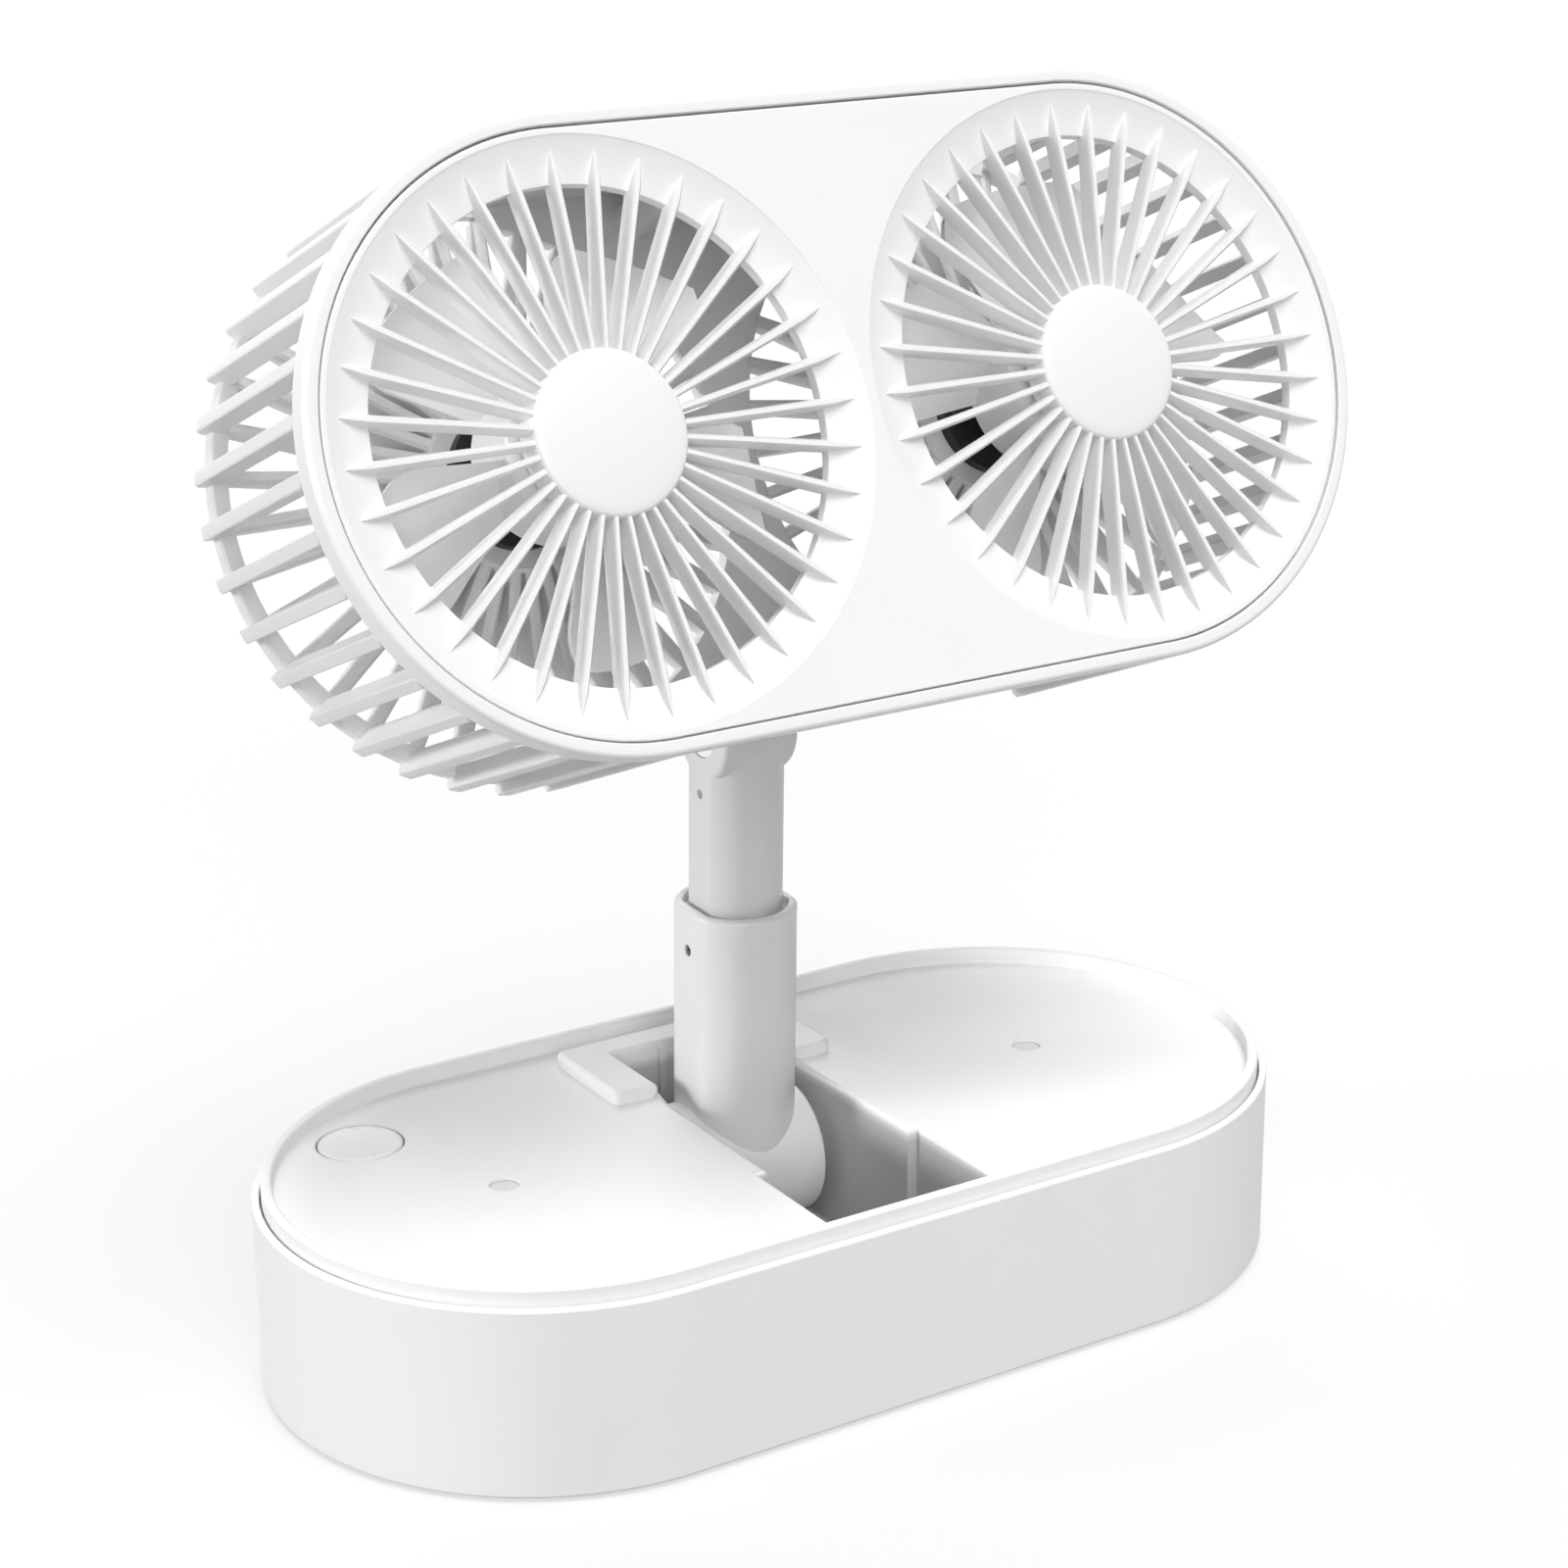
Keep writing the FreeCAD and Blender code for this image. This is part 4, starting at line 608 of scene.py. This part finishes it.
panel_white = moulded_plastic(
    "panel_white_satin", (0.925, 0.925, 0.92), (0.908, 0.908, 0.906), (0.33, 0.41))
bm = bmesh.new()
face_edge = stadium_loop(bm, PANEL_RADIUS - PANEL_EDGE, 0)
dish_rims = [circle_loop(bm, DISH_RIM, (fan, 0, 0), ROUND_STEPS) for fan in FANS]
fill_flat(bm, face_edge + sum(dish_rims, []))
back_edges = draw_out(bm, face_edge, (
    *rounding(PANEL_RADIUS - PANEL_EDGE, PANEL_RADIUS, 0, -PANEL_EDGE, True), (PANEL_RADIUS, PANEL_BACK)))
for fan, rim in zip(FANS, dish_rims):
    back_edges += draw_out(bm, rim, DISH_PROFILE, (fan, 0, 0))
fill_flat(bm, back_edges)
for fan in FANS:
    turned(bm, HUB_PROFILE, (fan, 0, 0))
rib = lay_bar(bm, RIB_STATIONS)
copies(bm, rib, [place for fan in FANS for place in spokes(fan, 0, RIB_COUNT)])
set_piece("front_panel_grilles", bm, panel_white, "head", "front_panel", place=HEAD)

# Side fins: 19 thin bars round the outer half of each fan, moulded with the rear shell, flush with the bezel
# and chamfered at the back.
FIN_HALF, FIN_IN, FIN_FRONT, FIN_BACK, FIN_CHAMFER, FIN_EDGE = 1.25, 49.0, -4.5, -50.0, 0.8, 0.25
FIN_COUNT = RIB_COUNT // 2 + 1
# The cage's white is a little darker than the face's: painted shade for the dim inside of the head.
cage_shaded_white = moulded_plastic("cage_white_satin", (0.86, 0.86, 0.857), (0.84, 0.84, 0.838), (0.36, 0.46))
for side, fan, first in zip(("left", "right"), FANS, (90.0, -90.0)):
    bm = bmesh.new()
    fin = bmesh.ops.create_cube(bm, size=1)["verts"]
    bmesh.ops.scale(bm, verts=fin, vec=(BEZEL_RADIUS - FIN_IN, 2 * FIN_HALF, FIN_FRONT - FIN_BACK))
    bmesh.ops.translate(bm, verts=fin, vec=((BEZEL_RADIUS + FIN_IN) / 2, 0, (FIN_FRONT + FIN_BACK) / 2))
    rear_edge = [e for e in bm.edges
                 if all(v.co.x > FIN_IN + NEAR and v.co.z < FIN_BACK + NEAR for v in e.verts)]
    soften(bm, rear_edge, FIN_CHAMFER, 1)
    soften(bm, corners(bm), FIN_EDGE, 1)
    copies(bm, list(bm.verts), spokes(fan, first, FIN_COUNT))
    set_piece("cage_fins_" + side, bm, cage_shaded_white, "head", "side_fins_" + side, place=HEAD)

# Rear grilles: behind each fan a ring, 36 deep ribs and the round mount of the motor, with a dished back.
# They are one moulding with the spine.
RING_FRONT, MOUNT_FRONT, MOUNT_RADIUS = -46.8, -38.0, 16.0
RING_PROFILE = (            # radius, height
    (48.0, RING_FRONT), (50.6, RING_FRONT), (51.0, -47.2), (51.0, -49.5), (50.5, FIN_BACK), (48.5, FIN_BACK),
    (48.0, -49.5), (48.0, RING_FRONT))
MOUNT_PROFILE = (
    (0, MOUNT_FRONT), (15.5, MOUNT_FRONT), (MOUNT_RADIUS, -38.5), (MOUNT_RADIUS, -49.2), (15.2, FIN_BACK),
    (12.5, FIN_BACK), (12.0, -49.5), (11.6, -47.0), (0, -47.0))
RING_BEYOND = 9.0           # degrees that the ring runs on past the vertical, into the spine
REAR_RIB_HALF, REAR_RIB_SOFT, REAR_RIB_ROOT, REAR_RIB_SUNK = 1.1, 0.5, 14.6, 0.4
REAR_RIB_TIP, SPINE_RIB_TIP = 48.4, 47.0    # on the ring and on the spine
half_turn = math.radians(90 + RING_BEYOND)
slope = (RING_FRONT - MOUNT_FRONT) / (REAR_RIB_TIP - MOUNT_RADIUS)
for side, fan, outward in zip(("left", "right"), FANS, (180.0, 0.0)):
    bm = bmesh.new()
    turned(bm, RING_PROFILE, (fan, 0, 0), 72, 2 * half_turn, math.radians(outward) - half_turn)
    bmesh.ops.remove_doubles(bm, verts=bm.verts, dist=WELD)
    bmesh.ops.holes_fill(bm, edges=[e for e in bm.edges if e.is_boundary], sides=0)
    turned(bm, MOUNT_PROFILE, (fan, 0, 0))
    for tip, on_ring in ((REAR_RIB_TIP, True), (SPINE_RIB_TIP, False)):
        tip_front = MOUNT_FRONT + slope * (tip - MOUNT_RADIUS)
        bar = lay_bar(bm, (
            (REAR_RIB_ROOT, REAR_RIB_HALF, MOUNT_FRONT - REAR_RIB_SUNK, FIN_BACK, REAR_RIB_SOFT),
            (tip, REAR_RIB_HALF, tip_front, FIN_BACK, REAR_RIB_SOFT)))
        copies(bm, bar, [
            place for number, place in enumerate(spokes(fan, 0, RIB_COUNT))
            if (math.cos(math.radians(RIB_STEP * number - outward)) > math.cos(half_turn)) == on_ring])
    set_piece("rear_ribs_" + side, bm, cage_shaded_white, "head", "rear_grille_" + side, place=HEAD)

# Spine and hoop: between the fans an hourglass plate at the back with four screw posts and a wall above and
# below, open to both fans, and the slim hoop behind the bezel that joins the fins. They are the middle of
# the rear moulding.
SPINE_HALF, SPINE_TALL, SPINE_EDGE = 42.0, 51.0, 1.0
SPINE_WALL, WALL_FRONT, PLATE_FRONT, DUCT_RADIUS = 2.0, -4.6, -46.8, 46.5
TOWER_SPOTS = [(x, z) for x in (-12.0, 12.0) for z in (-43.8, 43.8)]
TOWER_RADIUS, TOWER_FRONT, TOWER_HOLE, TOWER_EDGE, TOWER_SEAT = 3.4, -6.0, 2.7, 0.3, -9.0
HOOP_IN, HOOP_OUT, HOOP_BACK, HOOP_EDGE = 47.6, 49.6, -7.5, 0.4
bm = bmesh.new()
start = stadium_loop(bm, HOOP_OUT, FIN_FRONT)
last = draw_out(bm, start, (
    (HOOP_OUT, HOOP_BACK + HOOP_EDGE), (HOOP_OUT - HOOP_EDGE, HOOP_BACK),
    (HOOP_IN + HOOP_EDGE, HOOP_BACK), (HOOP_IN, HOOP_BACK + HOOP_EDGE), (HOOP_IN, FIN_FRONT)))
bmesh.ops.bridge_loops(bm, edges=start + last)
hoop_verts = set(bm.verts)
for fan in FANS:
    side = math.copysign(1, fan)
    duct = circle_loop(bm, DUCT_RADIUS, (fan, 0, PLATE_FRONT), ROUND_STEPS)
    ring = list({v for e in duct for v in e.verts})
    split(bm, ring + duct, (side * SPINE_HALF, 0, 0), (side, 0, 0), clear_outer=True)
spine_verts = [v for v in bm.verts if v not in hoop_verts]
plate_rim = ring_edges(spine_verts)
ends = [v for v in spine_verts if len(v.link_edges) == 1]
for sign in (-1, 1):
    left, right = sorted((v for v in ends if v.co.y * sign > 0), key=lambda v: v.co.x)
    plate_rim += open_chain(bm, [(-SPINE_HALF, sign * SPINE_TALL), (SPINE_HALF, sign * SPINE_TALL)],
                            PLATE_FRONT, left, right)
posts = [circle_loop(bm, TOWER_RADIUS, (*spot, PLATE_FRONT), 40) for spot in TOWER_SPOTS]
fill_flat(bm, plate_rim + sum(posts, []))
rear_rim = pulled(bm, plate_rim, (0, 0, FIN_BACK - PLATE_FRONT))
holes = [circle_loop(bm, TOWER_HOLE + TOWER_EDGE, (*spot, FIN_BACK), 40) for spot in TOWER_SPOTS]
fill_flat(bm, rear_rim + sum(holes, []))
for spot, post, hole in zip(TOWER_SPOTS, posts, holes):
    fill_flat(bm, draw_out(bm, post, ((TOWER_RADIUS, TOWER_FRONT),), (*spot, 0)))
    fill_flat(bm, draw_out(bm, hole, (
        (TOWER_HOLE, FIN_BACK + TOWER_EDGE), (TOWER_HOLE, TOWER_SEAT)), (*spot, 0)))
wall_inside = SPINE_TALL - SPINE_WALL
for sign in (-1, 1):
    front = [f for f in bm.faces if all(abs(v.co.z - PLATE_FRONT) < NEAR for v in f.verts)]
    split(bm, whole(front), (0, sign * wall_inside, 0), (0, sign, 0))
strips = [f for f in bm.faces if all(
    abs(v.co.z - PLATE_FRONT) < NEAR and abs(v.co.y) > wall_inside - NEAR for v in f.verts)]
lifted(bm, strips, (0, 0, WALL_FRONT - PLATE_FRONT))
bmesh.ops.recalc_face_normals(bm, faces=bm.faces)
spine_edges = [e for e in corners(bm) if all(abs(v.co.y) > SPINE_TALL - NEAR for v in e.verts)
               and not all(v.co.z > WALL_FRONT - NEAR for v in e.verts)]
soften(bm, spine_edges, SPINE_EDGE)
set_piece("spine_and_hoop", bm, cage_shaded_white, "head", "rear_shell", place=HEAD)
give(screw_steel, "head_screws")

# Motors: dark painted metal cans on the mounts of the rear grilles, each with its flange, two bearings and
# two screws.
motor_dark = moulded_plastic(
    "motor_dark_paint", (0.035, 0.035, 0.037), (0.022, 0.022, 0.024), (0.4, 0.55), 0.2, 90.0)
give(motor_dark, "motor_left", "motor_right")
give(screw_steel, "motor_screws")
give(pin_steel, "motor_bearings")

# Impellers: white glossy mouldings, each a cup over its motor with five broad twisted blades. The boss in
# the cup is pressed on the turned steel shaft.
CUP_RADIUS, CUP_WALL, CUP_FRONT, CUP_BACK, CUP_ROUND = 14.5, 1.6, -8.5, -23.5, 2.5
CUP_BOSS, BOSS_BACK, SHAFT_HOLE, HOLE_FRONT = 4.0, -12.2, 1.51, -9.8
BLADE_COUNT, BLADE_TIP, BLADE_THICK, BLADE_MIDDLE = 5, 36.5, 1.2, -17.0
BLADE_CAMBER, ROOT_CAMBER = 1.6, 0.3
TIP_START, TIP_TUCK = 0.7, 0.45    # shares of the blade's length and width, where its tip is rounded
CHORDS, PITCHES, PHASES = (14.0, 30.0), (48.0, 24.0), (57.0, 20.0)
blade_white = moulded_plastic(
    "blade_white_gloss", (0.94, 0.94, 0.94), (0.925, 0.926, 0.927), (0.16, 0.26), 0.02)
for side, fan, phase in zip(("left", "right"), FANS, PHASES):
    bm = bmesh.new()
    sheet = bmesh.ops.create_grid(bm, x_segments=12, y_segments=12, size=1)["verts"]
    root = CUP_RADIUS - CUP_WALL / 2
    for v in sheet:
        share, across = (v.co.x + 1) / 2, v.co.y
        radius = root + share * (BLADE_TIP - root)
        chord = CHORDS[0] + share * (CHORDS[1] - CHORDS[0])
        if share > TIP_START:
            chord *= math.sqrt(1 - TIP_TUCK * ((share - TIP_START) / (1 - TIP_START)) ** 2)
        pitch = math.radians(PITCHES[0] + share * (PITCHES[1] - PITCHES[0]))
        bulge = BLADE_CAMBER * (ROOT_CAMBER + share) * (1 - across ** 2)
        along = across * chord / 2
        tangent = along * math.cos(pitch) - bulge * math.sin(pitch)
        depth = along * math.sin(pitch) + bulge * math.cos(pitch)
        reach = math.sqrt(max(radius ** 2 - tangent ** 2, 1.0))
        v.co = (reach, tangent, BLADE_MIDDLE - depth)
    bmesh.ops.solidify(bm, geom=list(bm.faces), thickness=BLADE_THICK)
    copies(bm, list(bm.verts), spokes(fan, phase, BLADE_COUNT, 360 / BLADE_COUNT))
    turned(bm, (
        (0, CUP_FRONT), (CUP_RADIUS - CUP_ROUND, CUP_FRONT),
        *rounding(CUP_RADIUS - CUP_ROUND, CUP_RADIUS, CUP_FRONT, CUP_FRONT - CUP_ROUND, True, 5),
        (CUP_RADIUS, CUP_BACK), (CUP_RADIUS - CUP_WALL, CUP_BACK),
        (CUP_RADIUS - CUP_WALL, CUP_FRONT - CUP_WALL), (CUP_BOSS, CUP_FRONT - CUP_WALL),
        (CUP_BOSS, BOSS_BACK), (SHAFT_HOLE, BOSS_BACK), (SHAFT_HOLE, HOLE_FRONT), (0, HOLE_FRONT)),
        (fan, 0, 0))
    set_piece("impeller_wheel_" + side, bm, blade_white, side + "_fan", "impeller_" + side,
              place=HEAD)
    give(pin_steel, "shaft_" + side)

# Floor: a plain pale table top, which keeps the soft shadow of the part and is white where the camera or a
# glossy surface sees it in the light.
TABLE_HALF, TABLE_GLOW = 12.0, 0.63    # in metres, strength


def background_rays(tree):
    """1 for a ray that shows the background: one of the camera, of a glossy surface or of clear matter."""
    rays = add_node(tree, "LightPath")
    shown = rays.outputs["Is Camera Ray"]
    for kind in ("Is Glossy Ray", "Is Transmission Ray"):
        either = add_node(tree, "Math")
        either.operation = "MAXIMUM"
        tree.links.new(shown, either.inputs[0])
        tree.links.new(rays.outputs[kind], either.inputs[1])
        shown = either.outputs["Value"]
    return shown


table_pale, tree, shader, place = new_finish("table_pale")
shader.inputs["Roughness"].default_value = 0.9
shader.inputs["Specular IOR Level"].default_value = 0.1
cloud = add_node(tree, "TexNoise", Vector=place, Scale=3.0, Detail=2.0)
two_tones(tree, shader, cloud, (0.29, 0.29, 0.29), (0.31, 0.31, 0.31))
shine = add_node(tree, "MapRange", Value=background_rays(tree), To_Min=0.0, To_Max=TABLE_GLOW)
glow = add_node(tree, "Emission", Color=(1, 1, 1, 1), Strength=shine.outputs["Result"])
both = add_node(tree, "AddShader")
tree.links.new(shader.outputs["BSDF"], both.inputs[0])
tree.links.new(glow.outputs["Emission"], both.inputs[1])
tree.links.new(both.outputs["Shader"], tree.nodes["Material Output"].inputs["Surface"])
bm = bmesh.new()
bmesh.ops.create_grid(bm, x_segments=4, y_segments=4, size=TABLE_HALF)
mesh = bpy.data.meshes.new("table")
bm.to_mesh(mesh)
bm.free()
mesh.materials.append(table_pale)
table = bpy.data.objects.new("table", mesh)
bpy.context.scene.collection.objects.link(table)

# Light: a soft key from high in front, a fill from the front, one from high behind and a low narrow one from
# the left. The surround is faint, but plain white where the camera or a glossy surface sees it.
SURROUND = 0.02
world = bpy.data.worlds.new("surround")
bpy.context.scene.world = world
world.use_nodes = True
tree = world.node_tree
tree.nodes.clear()
level = add_node(tree, "MapRange", Value=background_rays(tree), To_Min=SURROUND, To_Max=1.0)
sky = add_node(tree, "Background", Color=(1, 1, 1, 1), Strength=level.outputs["Result"])
add_node(tree, "OutputWorld", Surface=sky.outputs["Background"])
for name, towards, strength, spread in (
        ("top_lamp", (0.0, -0.38, 0.92), 2.45, 40.0),
        ("front_lamp", (-0.35, -0.85, 0.38), 1.1, 35.0),
        ("back_lamp", (0.2, 0.6, 0.77), 1.05, 45.0),
        ("left_lamp", (-0.9, 0.4, 0.12), 1.75, 14.0)):
    lamp = bpy.data.lights.new(name, "SUN")
    lamp.energy = strength
    lamp.angle = math.radians(spread)
    lamp_object = bpy.data.objects.new(name, lamp)
    lamp_object.rotation_euler = Vector(towards).to_track_quat("Z", "Y").to_euler()
    bpy.context.scene.collection.objects.link(lamp_object)

# Camera: at the photograph's viewing angle, in front on the left and a little above. Its place, its roll and
# its lens are those that were solved from the photograph.
AZIMUTH, ELEVATION, ROLL = math.radians(-32.07), math.radians(18.475), math.radians(-0.566)
EYE = Vector((-0.30539, -0.49032, 0.29507))
outward = math.cos(ELEVATION)
back = Vector((math.sin(AZIMUTH) * outward, -math.cos(AZIMUTH) * outward, math.sin(ELEVATION)))
right = Vector((math.cos(AZIMUTH), math.sin(AZIMUTH), 0))
up = back.cross(right)
right, up = math.cos(ROLL) * right + math.sin(ROLL) * up, math.cos(ROLL) * up - math.sin(ROLL) * right
lens = bpy.data.cameras.new("camera")
lens.lens, lens.sensor_width = 76.33, 36.0
lens.clip_start, lens.clip_end = 0.01, 50.0
camera = bpy.data.objects.new("camera", lens)
camera.matrix_world = Matrix((right, up, back)).transposed().to_4x4()
camera.matrix_world.translation = EYE
bpy.context.scene.collection.objects.link(camera)
bpy.context.scene.camera = camera
bpy.context.scene.view_settings.view_transform = "Standard"
